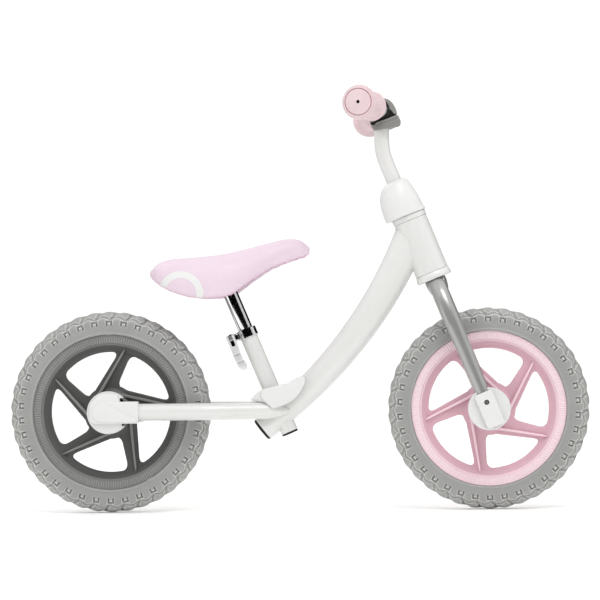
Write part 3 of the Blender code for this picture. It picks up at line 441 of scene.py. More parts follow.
def lathe(profile, steps=96, matrix=None, ripple=None):
    """A solid of revolution about Z from (radius, height) points; ripple(i, j) lifts point j of column i."""
    on_axis = profile[0][0] == 0 and profile[-1][0] == 0
    bm = bmesh.new()
    columns = []
    poles = {}
    for i, angle in enumerate(round_angles(steps)):
        column = []
        for j, (radius, height) in enumerate(profile):
            if radius == 0:
                if j not in poles:
                    poles[j] = bm.verts.new((0, 0, height))
                column.append(poles[j])
                continue
            lift = ripple(i, j) if ripple else 0
            column.append(bm.verts.new((radius * cos(angle), radius * sin(angle), height + lift)))
        columns.append(column)
    last = len(profile)
    for i, column in enumerate(columns):
        following = columns[(i + 1) % steps]
        for j in range(last - 1 if on_axis else last):
            k = (j + 1) % last
            corners = []
            for vert in (column[j], following[j], following[k], column[k]):
                if vert not in corners:
                    corners.append(vert)
            if len(corners) > 2:
                bm.faces.new(corners)
    return from_bmesh(bm, matrix)


def rounded(corners, radius, count=5):
    """A flat outline with every corner eased; a radius may be given for each corner."""
    radii = radius if isinstance(radius, (list, tuple)) else [radius] * len(corners)
    points = []
    for i, corner in enumerate(corners):
        corner = Vector(corner)
        before, after = Vector(corners[i - 1]) - corner, Vector(corners[(i + 1) % len(corners)]) - corner
        trim = min(radii[i], before.length * 0.48, after.length * 0.48)
        start, end = corner + before.normalized() * trim, corner + after.normalized() * trim
        for k in range(count):
            t = k / (count - 1)
            points.append((1 - t) ** 2 * start + 2 * (1 - t) * t * corner + t * t * end)
    return points


def plate(outlines, thickness, edge, matrix=None, steps=3):
    """Flat outlines in XY, thickened both ways along Z, with rounded edges."""
    curve = bpy.data.curves.new("outline", "CURVE")
    curve.dimensions = "2D"
    curve.fill_mode = "BOTH"
    curve.extrude = thickness / 2 - edge
    curve.bevel_depth = edge
    curve.bevel_resolution = steps
    curve.offset = -edge
    for index, outline in enumerate(outlines):
        outline = outline[::-1] if index else outline
        spline = curve.splines.new("POLY")
        spline.points.add(len(outline) - 1)
        spline.use_cyclic_u = True
        for point, place in zip(spline.points, outline):
            point.co = (place[0], place[1], 0, 1)
    holder = into_scene("outline", curve)
    bpy.context.view_layer.update()
    mesh = bpy.data.meshes.new_from_object(holder.evaluated_get(bpy.context.evaluated_depsgraph_get()))
    bpy.data.objects.remove(holder)
    bm = bmesh.new()
    bm.from_mesh(mesh)
    bmesh.ops.remove_doubles(bm, verts=bm.verts, dist=0.01)
    return from_bmesh(bm, matrix)


def brick(low, high, edge, steps=4, matrix=None):
    """A rectangular body between two corners with rounded edges."""
    bm = bmesh.new()
    bmesh.ops.create_cube(bm, size=1)
    size = Vector(high) - Vector(low)
    bmesh.ops.transform(bm, matrix=Matrix.Diagonal((*size, 1)), verts=bm.verts)
    bmesh.ops.translate(bm, vec=(Vector(high) + Vector(low)) / 2, verts=bm.verts)
    bmesh.ops.bevel(bm, geom=bm.edges[:], offset=edge, segments=steps, affect="EDGES", profile=0.5)
    return from_bmesh(bm, matrix)


def rod(radius, low, high, steps=48, matrix=None, edge=0.0):
    if edge:
        profile = [(0, high), (radius - edge, high), (radius - 0.3 * edge, high - 0.3 * edge),
                   (radius, high - edge), (radius, low + edge), (radius - 0.3 * edge, low + 0.3 * edge),
                   (radius - edge, low), (0, low)]
    else:
        profile = [(0, high), (radius, high), (radius, low), (0, low)]
    return lathe(profile, steps, matrix)


def bezier(points, count):
    path = []
    for i in range(count):
        t = i / (count - 1)
        s = 1 - t
        path.append(s ** 3 * points[0] + 3 * s * s * t * points[1] + 3 * s * t * t * points[2] + t ** 3
                    * points[3])
    return path


def through(values, steps):
    """A smooth run through control values (numbers or vectors), steps points to each span."""
    run = []
    for i in range(len(values) - 1):
        before = values[max(i - 1, 0)]
        start, end = values[i], values[i + 1]
        after = values[min(i + 2, len(values) - 1)]
        for k in range(steps):
            t = k / steps
            run.append(0.5 * (2 * start + (end - before) * t + (2 * before - 5 * start + 4 * end - after)
                              * t * t + (3 * start - before - 3 * end + after) * t ** 3))
    return run + [values[-1]]


def sweep(path, radii, sides=40, matrix=None, squeeze=1.0, round_ends=0.0):
    """A round tube along a path, kept from twisting; round_ends eases its end edges."""
    rings = []
    side = Vector((0, 1, 0))
    if abs((path[1] - path[0]).normalized().dot(side)) > 0.9:
        side = Vector((1, 0, 0))
    stations = [(path[i], radii[i], i) for i in range(len(path))]
    if round_ends:
        start = (path[1] - path[0]).normalized() * round_ends
        end = (path[-2] - path[-1]).normalized() * round_ends
        stations = [(path[0], radii[0] - round_ends, 0), (path[0] + start * 0.3, radii[0] - 0.3
                                                          * round_ends, 0), (path[0] + start, radii[0], 0),
                    *stations[1:-1], (path[-1] + end, radii[-1], len(path) - 1),
                    (path[-1] + end * 0.3, radii[-1] - 0.3 * round_ends, len(path) - 1),
                    (path[-1], radii[-1] - round_ends, len(path) - 1)]
    for place, radius, i in stations:
        ahead = (path[min(i + 1, len(path) - 1)] - path[max(i - 1, 0)]).normalized()
        side = (side - ahead * side.dot(ahead)).normalized()
        up = ahead.cross(side)
        rings.append([place + side * radius * squeeze * cos(angle) + up * radius * sin(angle)
                      for angle in round_angles(sides)])
    return lattice(rings, matrix=matrix)


def merged(*meshes):
    """Several closed shapes as one mesh; a shape may carry a material index, as (mesh, index)."""
    bm = bmesh.new()
    for entry in meshes:
        mesh, index = entry if isinstance(entry, tuple) else (entry, 0)
        before = len(bm.faces)
        bm.from_mesh(mesh)
        bm.faces.ensure_lookup_table()
        for face in bm.faces[before:]:
            face.material_index = index
    mesh = bpy.data.meshes.new("joined")
    bm.to_mesh(mesh)
    bm.free()
    return mesh


def carved(mesh, add=(), cut=(), edge=0.0, matrix=None):
    """A mesh with others joined to it and cut from it, then its sharp edges eased."""
    base = into_scene("shape", mesh)
    others = []
    for operation, shapes in (("UNION", add), ("DIFFERENCE", cut)):
        for shape in shapes:
            other = into_scene("shape", shape)
            others.append(other)
            modifier = base.modifiers.new(operation.lower(), "BOOLEAN")
            modifier.operation = operation
            modifier.solver = "EXACT"
            modifier.object = other
    if edge:
        modifier = base.modifiers.new("edge", "BEVEL")
        modifier.width = edge
        modifier.segments = 2
        modifier.limit_method = "ANGLE"
        modifier.angle_limit = radians(40)
        modifier.use_clamp_overlap = True
    bpy.context.view_layer.update()
    result = bpy.data.meshes.new_from_object(base.evaluated_get(bpy.context.evaluated_depsgraph_get()))
    for obj in [base, *others]:
        bpy.data.objects.remove(obj)
    if matrix is not None:
        result.transform(matrix)
    return result


# --- tyres ---

TYRE_PROFILE = [
    (115.2, 18.6), (116.2, 20.2), (118.2, 20.7), (120, 20.0), (124, 20.6), (131, 22.0), (137, 21.7),
    (142.6, 18.8), (146.9, 13.4), (149.2, 7.0), (149.9, 0.0),
]
WAVE_PLACE = 23
NOTCH_OUTER = 36
NOTCH_INNER = 27
NOTCH_HALF = 4.9
TYRE_COLUMNS = 22


def tread_relief(angle, arc):
    """How far the foam is pressed in at a wheel angle and a distance round the section from the crown."""
    pitch = 2 * pi / TREAD_BLOCKS
    side = np.where(arc < 0, -1.0, 1.0)
    reach = np.abs(arc)
    phase = angle / pitch + np.where(side < 0, 0.5, 0.0)

    def across(centre):
        """Distance from the nearest groove line along the tyre."""
        turn = phase - centre
        return (turn - np.round(turn)) * pitch * (WHEEL_RADIUS - 8)

    shift = 0.34 * np.sin(pi * reach / (2 * WAVE_PLACE)) ** 2 + 0.1 * np.sin(2 * pi * reach / WAVE_PLACE)
    cross = 2.5 * np.exp(-((across(shift) / 2.0) ** 2)) * (reach < WAVE_PLACE + 2)
    wave_line = WAVE_PLACE + 2.3 * np.sin(2 * pi * (phase - 0.16))
    wave = 1.8 * np.exp(-(((reach - wave_line) / 1.3) ** 2))
    shoulder = 1.5 * np.exp(-((across(0.34 + 0.006 * (reach - WAVE_PLACE)) / 1.2) ** 2))
    shoulder = shoulder * (reach > WAVE_PLACE - 2) * (reach < NOTCH_OUTER - 5)
    aside = np.abs(across(0.5))
    pocket = np.clip((NOTCH_HALF - aside) / 0.6, 0, 1) * np.clip((NOTCH_OUTER - reach) / 0.7, 0, 1)
    pocket = pocket * np.clip((reach - NOTCH_INNER) / 1.5, 0, 1)
    tongue = np.clip((NOTCH_HALF - 2 - aside) / 0.6, 0, 1)
    tongue = tongue * np.clip((reach - NOTCH_INNER - 3) / 0.7, 0, 1)
    notch = 2.8 * pocket * (1 - tongue)
    centre_line = 0.9 * np.exp(-(((arc - 2.4 * np.sin(2 * pi * angle / pitch)) / 0.9) ** 2))
    dome = 1.1 * (0.5 + 0.5 * np.cos(2 * pi * (phase - shift))) * (reach < WAVE_PLACE)
    scallop = 1.5 * (0.5 + 0.5 * np.cos(2 * pi * angle / pitch)) ** 2 * np.exp(-((arc / 15) ** 2))
    return np.maximum.reduce([cross, wave, shoulder, notch, centre_line]) + dome + scallop


def tyre(name, axle, body, flip):
    """Foam tyre with a moulded tread: the smooth section, pressed in by the tread relief."""
    half = [Vector((radius, offset)) for radius, offset in TYRE_PROFILE]
    right = through(half, 5)
    section = right + [Vector((point.x, -point.y)) for point in right[-2::-1]]
    middle_index = len(right) - 1
    count = len(section)
    arcs = [0.0]
    for before, after in zip(section, section[1:]):
        arcs.append(arcs[-1] + (after - before).length)
    arc = np.array(arcs) - arcs[middle_index]
    normals = []
    for i in range(count):
        along = section[min(i + 1, count - 1)] - section[max(i - 1, 0)]
        normals.append((along.y, -along.x))
    normal = np.array(normals)
    normal /= np.linalg.norm(normal, axis=1)[:, None]
    normal *= -1 if normal[middle_index][0] < 0 else 1
    columns = TREAD_BLOCKS * TYRE_COLUMNS
    angle = np.arange(columns) * 2 * pi / columns
    relief = tread_relief(angle[:, None], arc[None, :])
    radius = np.array([point.x for point in section])[None, :] - relief * normal[None, :, 0]
    offset = np.array([point.y for point in section])[None, :] - relief * normal[None, :, 1]
    turn = flip * angle[:, None]
    rings = np.stack([radius * np.cos(turn), offset, radius * np.sin(turn)], axis=-1)
    mesh = lattice([ring.tolist() for ring in rings], closed_along=True, matrix=Matrix.Translation(axle))
    return piece(name + "_foam_tyre", mesh, "foam_tyre", body, [name + "_tyre"], 60)


# --- rims ---

WEB_FACE = 6.2
RIB_FACE = 11.4


def polar(radius, angle):
    return Vector((radius * cos(angle), radius * sin(angle)))


def window(angle, turn):
    """One opening between two tangential spokes."""
    inner = polar(37, angle + turn * radians(72.5))
    first, last = angle + turn * radians(5.2), angle + turn * radians(66.2)
    arc = [polar(91, first + (last - first) * i / 30) for i in range(31)]
    points = rounded([arc[-1], inner, arc[0]], [0, 14, 0], 8)[8:16]
    points += rounded([inner, arc[0], arc[9]], [0, 13.5, 0], 8)[8:16]
    points += arc[5:-5]
    points += rounded([arc[-10], arc[-1], inner], [0, 13.5, 0], 8)[8:16]
    return points


def rib(angle, turn, side):
    """A raised blade from the rim's slope in to the hub, on one face of the web."""
    outer, inner = polar(98, angle), polar(30, angle + turn * radians(52.3))
    along = (inner - outer).normalized()
    across = Vector((-along.y, along.x))
    length = (inner - outer).length
    rings = []
    for share, half, top in ((0, 0.3, 11), (0.03, 0.8, 11.4), (0.12, 1.5, RIB_FACE), (0.5, 1.8, RIB_FACE),
                             (0.92, 2.0, RIB_FACE + 0.8), (1, 2.0, RIB_FACE + 1.5)):
        place = outer + along * length * share
        ring = []
        for offset, height in ((-1.25, 4), (-1.1, top - 1.6), (-0.8, top - 0.4), (-0.35, top), (0.35, top),
                               (0.8, top - 0.4), (1.1, top - 1.6), (1.25, 4)):
            point = place + across * offset * half
            ring.append((point.x, point.y, side * height))
        rings.append(ring)
    return lattice(rings)


def rim(name, axle, body, angle, turn):
    """Moulded rim: serrated band, step, sloped wall, windowed web with raised ribs, and hub."""
    half = [(115, 12), (115, 17.4), (114.6, 18.2), (113.8, 18.4), (113.2, 18.0), (112.8, 17.6),
            (111.5, 17.4), (107.5, 16.9), (104, 16.5), (103, 16.4), (102.6, 15.9), (102.2, 15.1),
            (101.8, 14.6), (101.0, 14.6), (98.2, 11.8), (95.5, 8.6), (94.2, 7.3), (92.6, 6.4), (91, 6.0),
            (89.5, 5.4)]
    outline = [(radius, -offset) for radius, offset in half[::-1]] + [(radius, offset) for radius,
                                                                      offset in half]
    last = len(outline) - 1

    def serration(i, j):
        radius, height = outline[j]
        if i % 4 or not 103.5 < radius < 112:
            return 0
        return 0.7 if height > 0 else -0.7

    band = lathe(outline[:last + 1], SERRATIONS * 4, UPRIGHT, serration)
    rim_circle = [polar(93.5, a) for a in round_angles(180)]
    windows = [window(angle + a, turn) for a in round_angles(SPOKES)]
    web = plate([rim_circle, *windows], 2 * WEB_FACE, 1.7, UPRIGHT, 4)
    hub = [(40, WEB_FACE - 0.6), (33, WEB_FACE + 0.6), (27, 12.5), (22.6, 22), (21.4, 25.2), (20.4, 26),
           (13.3, 26), (13.3, 17.6), (11.5, 17.6)]
    hub_outline = [(radius, -offset) for radius, offset in hub] + [(radius, offset) for radius,
                                                                   offset in hub[::-1]]
    hub_body = lathe(hub_outline, 96, UPRIGHT)
    ribs = []
    for spoke in round_angles(SPOKES):
        for side in (-1, 1):
            blade = rib(angle + spoke, turn, side)
            blade.transform(UPRIGHT)
            ribs.append(blade)
    mesh = merged(band, web, hub_body, *ribs)
    mesh.transform(Matrix.Translation(axle))
    return piece(name + "_spoked_rim", mesh, name + "_rim", body, [name + "_rim"], 40)


# --- wheel ends ---

def front_cover(side):
    """Dished cap with a raised channel for the fork leg and a screw hole, its inside painted black as shade.
    """
    out = along_y(side)
    disc = lathe([(0, 51.2), (24, 51.2), (28, 51.9), (29.4, 52.6), (30.6, 52.4), (31.4, 51.4), (31.6, 50),
                  (31.6, 37), (31, 36), (29.8, 36), (29.6, 48.6), (0, 49)], 96, out)
    outline = rounded([(-13.8, -27.6), (13.8, -27.6), (13.8, 26), (-13.8, 26)], [4, 4, 3, 3], 8)
    depth = CHANNEL_FACE - 35
    channel = plate([outline], depth, 1.6, upright(side, 35 + depth / 2), 4)
    inner = 11.8
    span = sorted((side * 30, side * (CHANNEL_FACE - COVER_WALL)))
    pocket = brick((-inner, span[0], -25), (inner, span[1], 22.5), 2)
    passage = rod(11.7, 12, 70, 48, Matrix.Translation((0, side * TIP_CENTRE, 0)))
    spot = Matrix.Translation((0, 0, 10.7)) @ out
    bore = lathe([(0, 70), (3.7, 70), (3.7, 54.8), (0, 54.8)], 48, spot)
    rim_ring = lathe([(3.6, 58.4), (3.8, 59.3), (4.4, 59.35), (4.9, 58.8), (4.9, 57.2), (3.6, 57.2)], 48,
                     spot)
    hollow = rod(29.6, 30, 48.8, 96, out)
    body = carved(disc, [channel], [pocket, hollow, passage, bore])
    # The bore's black floor: painted shade in the screw hole.
    floor = lathe([(0, 54.9), (3.9, 54.9), (3.9, 53.9), (0, 53.9)], 32, spot)
    mesh = merged(body, rim_ring, (floor, 1))
    mesh.transform(STEERING)
    name = f"front_hub_cover_{side_name(side)}"
    piece(name.replace("cover", "cap"), mesh, ["white_plastic", PAINTED_SHADE_BLACK], "steering", [name])
    # A black lining for the hole's wall: painted shade.
    tube = lathe([(3.69, 59), (3.69, 54.9), (3.4, 54.9), (3.4, 59)], 48, STEERING @ spot)
    piece(f"front_screw_hole_shade_{side_name(side)}", tube, [PAINTED_SHADE_BLACK, "black_plastic"], "steering")


def rear_cover(side):
    """Cap whose sleeve grips the chain stay, with a raised diagonal facet and notches beside the sleeve."""
    out = along_y(side)
    disc = lathe([(0, 52.4), (29, 52.4), (30.6, 52), (31.4, 51), (31.6, 49.6), (31.6, 37), (31, 36),
                  (29.8, 36), (29.6, 49.6), (0, 50)], 96, out)
    outline = rounded([(-16.2, -27), (16.2, -27), (16.2, 45.5), (-16.2, 45.5)], [9, 9, 3, 3], 8)
    depth = CHANNEL_FACE - 35
    channel = plate([outline], depth, 1.8, upright(side, 35 + depth / 2), 4)
    shield = plate([rounded([(16.2, -24), (13, -27), (-13, -27), (-27, -12), (-29.4, 2), (-27, 13),
                             (-21, 17.6), (16.2, 17.6)], 4, 6)], 6, 2.4, upright(side, 54.6), 4)
    facet = plate([rounded([(-13.6, -12), (-13.6, -4), (10.6, 43.4), (14.2, 43.4), (14.2, -14), (6, -23),
                            (-6, -23)], [5, 2, 1.5, 1.5, 6, 6, 6], 5)], 5, 1.5,
                  upright(side, CHANNEL_FACE - 0.6), 3)
    inner = 14.2
    span = sorted((side * 30, side * (CHANNEL_FACE - COVER_WALL)))
    pocket = brick((-inner, span[0], -25), (inner, span[1], 43.4), 2)
    passage = rod(13.1, 12, 70, 48, Matrix.Translation((0, side * TIP_CENTRE, 0)))
    hollow = rod(29.6, 30, 49.8, 96, out)
    notches = []
    for low, high, start in ((-21.8, -16.3, 18), (16.3, 19.8, 20.5)):
        ends = sorted((side * 34, side * 70))
        notches.append(brick((low, ends[0], start), (high, ends[1], 36), 0.8))
    body = carved(disc, [channel, shield], [pocket, hollow, passage, *notches])
    # A black disc inside the cap: painted shade seen through the notches.
    notch_shade_disc = lathe([(28.8, 47), (28.8, 46.2), (14, 46.2), (14, 47)], 64, out)
    mesh = merged(body, facet, (notch_shade_disc, 1))
    mesh.transform(REAR_END)
    name = f"rear_hub_cover_{side_name(side)}"
    piece(name.replace("cover", "cap"), mesh, ["white_plastic", PAINTED_SHADE_BLACK], "frame", [name])


def hex_nut(radius, low, high, hole, matrix):
    """Six-sided nut with a rounded crown."""
    body = carved(rod(radius, low, high, 6), [], [rod(hole, low - 2, high + 2, 32)], 0.5)
    body.transform(matrix)
    return body


def socket_screw(radius, top, head, shank, tail, key, matrix):
    """Round-headed bolt with a hexagonal key socket."""
    profile = [(0, top), (radius - 0.7, top), (radius - 0.2, top - 0.2), (radius, top - 0.7),
               (radius, top - head), (shank, top - head), (shank, tail + 0.6), (shank - 0.5, tail),
               (0, tail)]
    return carved(lathe(profile, 48), [], [rod(key, top - head * 0.6, top + 1, 6)], 0, matrix)


# --- frame ---

def weld_bead(rings):
    """A rippled bead laid along a closed line."""
    radius = 1.1
    count = len(rings)
    loops = []
    for i, place in enumerate(rings):
        ahead = (rings[(i + 1) % count] - rings[i - 1]).normalized()
        side = ahead.orthogonal().normalized()
        up = ahead.cross(side)
        size = radius * (1 + 0.12 * sin(i * 2.1))
        loops.append([place + (side * cos(a) + up * sin(a)) * size for a in round_angles(10)])
    for i in range(1, count):
        best = min(range(10), key=lambda k: (loops[i][k] - loops[i - 1][0]).length)
        loops[i] = loops[i][best:] + loops[i][:best]
    return lattice(loops)


def tube_tip(radius, turn):
    """A tube's end pressed flat round the axle: a rounded plate with a hole, straight towards local +Y."""
    outline = [Vector((radius * cos(a), radius * sin(a))) for a in (pi + pi * i / 24 for i in range(25))]
    outline += [Vector((radius, 16)), Vector((-radius, 16))]
    hole = [Vector((5.4 * cos(a), 5.4 * sin(a))) for a in round_angles(32)]
    return plate([outline, hole], TIP_THICKNESS, 0.6, turn)


def frame_tubes():
    path = bezier(MAIN_BEZIER, 60)
    radii = [MAIN_RADII[0] + (MAIN_RADII[1] - MAIN_RADII[0]) * i / 59 for i in range(60)]
    head_cut = rod(25.2, 180, 330, 96, STEERING)
    main = sweep(path, radii, 64, squeeze=MAIN_FLATTEN, round_ends=0.6)
    piece("main_tube_painted", carved(main, cut=[head_cut]), "white_paint", "frame", ["main_tube"])
    outward = (path[0] - path[1]).normalized()
    plug_place = Matrix.Translation(path[0]) @ outward.to_track_quat("Z", "Y").to_matrix().to_4x4()
    plug = lathe([(0, 4.2), (12, 4.2), (15.6, 3.9), (17, 3.1), (17.6, 2.2), (17.8, 1), (17.7, 0.2),
                  (15, 0.2), (15, -6), (0, -6)], 64)
    plug.transform(plug_place @ Matrix.Diagonal((MAIN_FLATTEN, 1, 1, 1)))
    piece("main_tube_end_cap", plug, "black_plastic", "frame", ["main_tube_plug"])
    seat = lathe([(12.7, 11.6), (12.3, 12), (11.3, 12), (11.3, -153), (12.3, -153), (12.7, -152.6)], 64)
    slit = brick((-20, -1.5, -16), (-8, 1.5, 20), 1)
    piece("seat_tube_painted", carved(seat, cut=[slit], matrix=SEAT), "white_paint", "frame", ["seat_tube"])
    cap = lathe([(0, 8), (10.6, 8), (10.9, 7), (10.9, -0.3), (12.5, -0.3), (12.6, -1.6), (12.1, -2.6),
                 (10.5, -3.1), (0, -3.3)], 64, SEAT @ Matrix.Translation((0, 0, -153)))
    piece("seat_tube_end_cap", cap, "black_plastic", "frame", ["seat_tube_plug"])
    for side in (-1, 1):
        name = f"chain_stay_{side_name(side)}"
        start = Vector((REAR_AXLE.x + 8, side * TIP_CENTRE, WHEEL_RADIUS))
        bend = Vector((-146, side * TIP_CENTRE, WHEEL_RADIUS))
        curve = bezier([bend, bend + Vector((44, 0, 0)), Vector((-88, side * 20, WHEEL_RADIUS)),
                        Vector((-14, side * 14, WHEEL_RADIUS))], 40)
        line = [start, start.lerp(bend, 0.5)] + curve
        taper = [12.7 * sqrt(max(0.02, 1 - max(0, (i - len(line) + 10) / 9) ** 2)) for i in range(len(line))]
        tube = sweep(line, taper, 48)
        tip = tube_tip(12.4, Matrix.Rotation(-pi / 2, 4, "Z"))
        tip.transform(Matrix.Translation((REAR_AXLE.x, side * TIP_CENTRE, WHEEL_RADIUS)) @ along_y(1))
        piece(name + "_painted", merged(tube, tip), "white_paint", "frame", [name])
    head = [(25.2, 302.2), (24.8, 302.6), (22.8, 302.6), (22.8, 219.2), (24.8, 219.2), (25.2, 219.6)]
    lower = [(25.2, 218.9), (25.6, 218.4), (26.6, 213.4), (26.8, 212), (26.8, 209.2), (26.3, 208.4),
             (22.5, 208.4), (22.5, 218.9)]
    upper = [(25.3, 310.6), (25.8, 310), (25.8, 303.6), (25.3, 302.9), (22.5, 302.9), (22.5, 310.6)]
    for name, profile, node in (("head_tube_painted", head, "head_tube"),
                                ("lower_cup_painted", lower, "headset_cup_lower"),
                                ("upper_cup_painted", upper, "headset_cup_upper")):
        piece(name, lathe(profile, 96, STEERING), "white_paint", "frame", [node])


def head_weld():
    """Bead where the main tube meets the head tube."""
    inverse = STEERING.inverted()
    path = bezier(MAIN_BEZIER, 80)
    ends = []
    for angle in round_angles(120):
        low, high = 0.55, 1.0
        for _ in range(30):
            share = (low + high) / 2
            index = share * 79
            i = min(int(index), 78)
            place = path[i].lerp(path[i + 1], index - i)
            ahead = (path[i + 1] - path[i]).normalized()
            side = Vector((0, 1, 0))
            up = ahead.cross(side)
            radius = MAIN_RADII[0] + (MAIN_RADII[1] - MAIN_RADII[0]) * share
            point = place + side * radius * MAIN_FLATTEN * cos(angle) + up * radius * sin(angle)
            local = inverse @ point
            if sqrt(local.x ** 2 + local.y ** 2) > 25.2:
                low = share
            else:
                high = share
        ends.append(point.copy())
    ends.append(ends[0].copy())
    piece("head_tube_weld", weld_bead(ends), "white_paint", "frame", (), 80)


def junction_cover():
    """Leaf-shaped moulding over the joint of seat tube, main tube and stays."""
    low_corners = [(-73, 165.7), (-68.7, 170), (-62.4, 177), (-54, 182), (-28.9, 187), (-20, 180), (-40, 160)]
    leaf_corners = [(-57, 172), (-54.5, 181.5), (-28.9, 188), (-18.5, 189), (-5.9, 197), (4.5, 201.6),
                    (10, 198), (10.2, 190.8), (2.2, 176.3), (-6.3, 167), (-18.8, 158.8), (-38.7, 152.4),
                    (-43.8, 158), (-52, 163.8)]
    shell = plate([rounded(low_corners, 5, 6)], 52, 3, UPRIGHT, 5)
    raised = plate([rounded(leaf_corners, [5, 5, 6, 6, 5, 4.5, 4.5, 5, 7, 6, 7, 3.6, 4, 5], 7)], 64, 2.4,
                   UPRIGHT, 5)
    bore = rod(11.7, -98, -30, 64, SEAT)
    mesh = merged(carved(shell, cut=[bore]), carved(raised, cut=[bore.copy()]))
    piece("junction_cover_moulding", mesh, "white_plastic", "frame", ["junction_cover"], 50)


# --- steering ---

def fork():
    crown = lathe([(0, 244), (11.5, 244), (11.5, 330), (12.7, 330), (12.7, 209), (15.4, 207.9), (16, 206.8),
                   (16, 200), (15.4, 196), (14.2, 190), (12.6, 185.5), (10.4, 182.6), (7, 181.4), (0, 181)],
                  72, STEERING)
    piece("fork_crown_painted", crown, "satin_grey", "steering", ["fork_steerer"])
    for side in (-1, 1):
        name = f"fork_leg_{side_name(side)}"
        control = [(8, 203, 9), (14, 199, 11.6), (22, 194, 12.6), (31, 184, 12.7), (38, 168, 12.7),
                   (42.5, 146, 12.7), (44, 120, 12.2), (44, 80, 11.6), (44, 40, 11.1), (44, 13, 10.7)]
        path = through([Vector((0, side * y, z)) for y, z, _ in control], 6)
        radii = through([radius for _, _, radius in control], 6)
        leg = sweep(path, radii, 48)
        tip = tube_tip(10.7, Matrix.Rotation(pi, 4, "Z"))
        tip.transform(Matrix.Translation((0, side * TIP_CENTRE, 0)) @ along_y(1))
        mesh = merged(leg, tip)
        mesh.transform(STEERING)
        piece(name + "_painted", mesh, "satin_grey", "steering", [name])
    stud = socket_screw(2.6, 2.2, 2.2, 1.6, -2, 1.2, STEERING @ Matrix.Translation((10.5, -12.6, 203.4))
                        @ along_y(-1) @ Matrix.Rotation(radians(-35), 4, "Y"))
    piece("crown_stud", stud, "chrome", "steering")


def headset_dome():
    """Cover over the upper bearing that bulges backwards, with a sloping top and a lip at the bottom."""
    sections = [(311.6, -3.4, 29.2), (311.9, -3.7, 30.1), (313, -3.9, 30.6), (321, -4.2, 30.6),
                (332.5, -4.2, 29.7), (345.6, -4.0, 27.3), (355.3, -2.5, 23.6), (361, -1.0, 20.4),
                (364, 0.2, 17.2), (365.6, 0.7, 14.2), (366, 0.7, 11.6)]
    run = through([Vector(section) for section in sections], 4)
    rings = []
    for height, centre, radius in run:
        rings.append([(centre + radius * cos(angle), radius * sin(angle) * 0.97,
                       height) for angle in round_angles(80)])
    mesh = lattice(rings, matrix=STEERING)
    piece("headset_dome", mesh, "white_plastic", "steering", ["headset_cover"], 50)
    lip = lathe([(25.9, 317.4), (27.0, 317), (27.5, 316.2), (27.5, 311.6), (27, 310.9), (25.9, 310.9)], 96,
                STEERING)
    piece("headset_dome_lip", lip, "white_plastic", "steering")


def stem_and_bar():
    along = Vector((-sin(STEERING_TILT), 0, cos(STEERING_TILT)))
    low, bend, top = FRONT_AXLE + along * 262, FRONT_AXLE + along * 392, Vector((127, 0, 570.5))
    curve = bezier([bend, bend + along * 22, top - Vector((0, 0, 30)), top], 30)
    path = [low] + curve
    piece("stem_tube_painted", sweep(path, [11.1] * len(path), 48), "white_paint", "steering", ["stem_tube"])
    half = [Vector((BAR_CENTRE.x, 0, BAR_CENTRE.z)), Vector((BAR_CENTRE.x, BAR_STRAIGHT * 0.7,
                                                             BAR_CENTRE.z)),
            Vector((BAR_CENTRE.x - 0.6, BAR_STRAIGHT, BAR_CENTRE.z)),
            Vector((BAR_CENTRE.x - 4, BAR_STRAIGHT * 1.6, BAR_CENTRE.z - 0.2)), BAR_END.copy()]
    left = through(half, 5)
    path = [Vector((point.x, -point.y, point.z)) for point in left[:0:-1]] + left
    bar = sweep(path, [11.1] * len(path), 48, BAR_TURN)
    piece("handlebar_painted", bar, "white_paint", "steering", ["handlebar"])


def bar_clamp():
    """Cast two-part clamp: arched cap, wedge base, black gap lobes, a black collar painting bore shade, two
    bolts.
    """
    width = 40
    bar_hole = rod(11.9, -50, 50, 64, along_y(1))
    cap_corners = [(-20, -14.6), (-20.4, -6), (-18.5, 3), (-13, 11.5), (-4, 16.4), (5, 16.4), (12.2, 12.8),
                   (17.6, 8.6), (21, 2.2), (22.4, -5.8), (22.2, -14.6)]
    cap = plate([rounded(cap_corners, 2.6, 5)], width, 1, UPRIGHT, 3)
    cap = carved(cap, cut=[bar_hole], matrix=CLAMP)
    piece("clamp_cap_cast", cap, "clamp_grey", "steering", ["clamp_cap"])
    base_corners = [(-21, -16.2), (22.2, -16.8), (23, -27.6), (20.4, -30.6), (5.6, -32), (-19, -26.6)]
    base = plate([rounded(base_corners, 2.6, 5)], width, 1.2, UPRIGHT, 4)
    groove = brick((-16, -30, -21.4), (19, -19.3, -20.2), 0.4)
    stem_seat = rod(11.4, -60, -27.3, 48, CLAMP.inverted()
                    @ Matrix.Translation(Vector((127, 0, BAR_CENTRE.z))))
    base = carved(base, cut=[bar_hole.copy(), stem_seat, groove], matrix=CLAMP)
    piece("clamp_base_cast", base, "clamp_grey", "steering", ["clamp_lower"])
    # Black lobes in the gap between cap and base, and a black collar round the bar that paints the shade in
    # the bore.
    lobe_corners = [(-20.6, -13), (-15, -14.8), (-9, -13.4), (9, -12), (13.4, -5), (15.2, -6.4),
                    (17.2, -13.6), (19.4, -15.4), (8, -17), (-12, -16.8), (-16, -19.6), (-19.8, -18)]
    lobes = plate([rounded(lobe_corners, 1.6, 4)], width + 0.8, 0.6, UPRIGHT, 2)
    collar = rod(14.5, -20.4, 20.4, 64, along_y(1), 0.5)
    black_gap_and_bore_shade = carved(lobes, [collar], [rod(11.3, -50, 50, 64, along_y(1))], matrix=CLAMP)
    piece("clamp_black_gap_and_bore_shade", black_gap_and_bore_shade, "black_plastic", "steering")
    for name, x, top in (("front", 16.5, 32.6), ("rear", -15.5, 28.6)):
        bolt = socket_screw(4, top, 4, 2.4, 8, 2.1, CLAMP @ Matrix.Translation((x, 0, 0))
                            @ Matrix.Rotation(pi, 4, "X"))
        piece(f"clamp_bolt_{name}_detail", bolt, "steel", "steering", [f"clamp_bolt_{name}"])


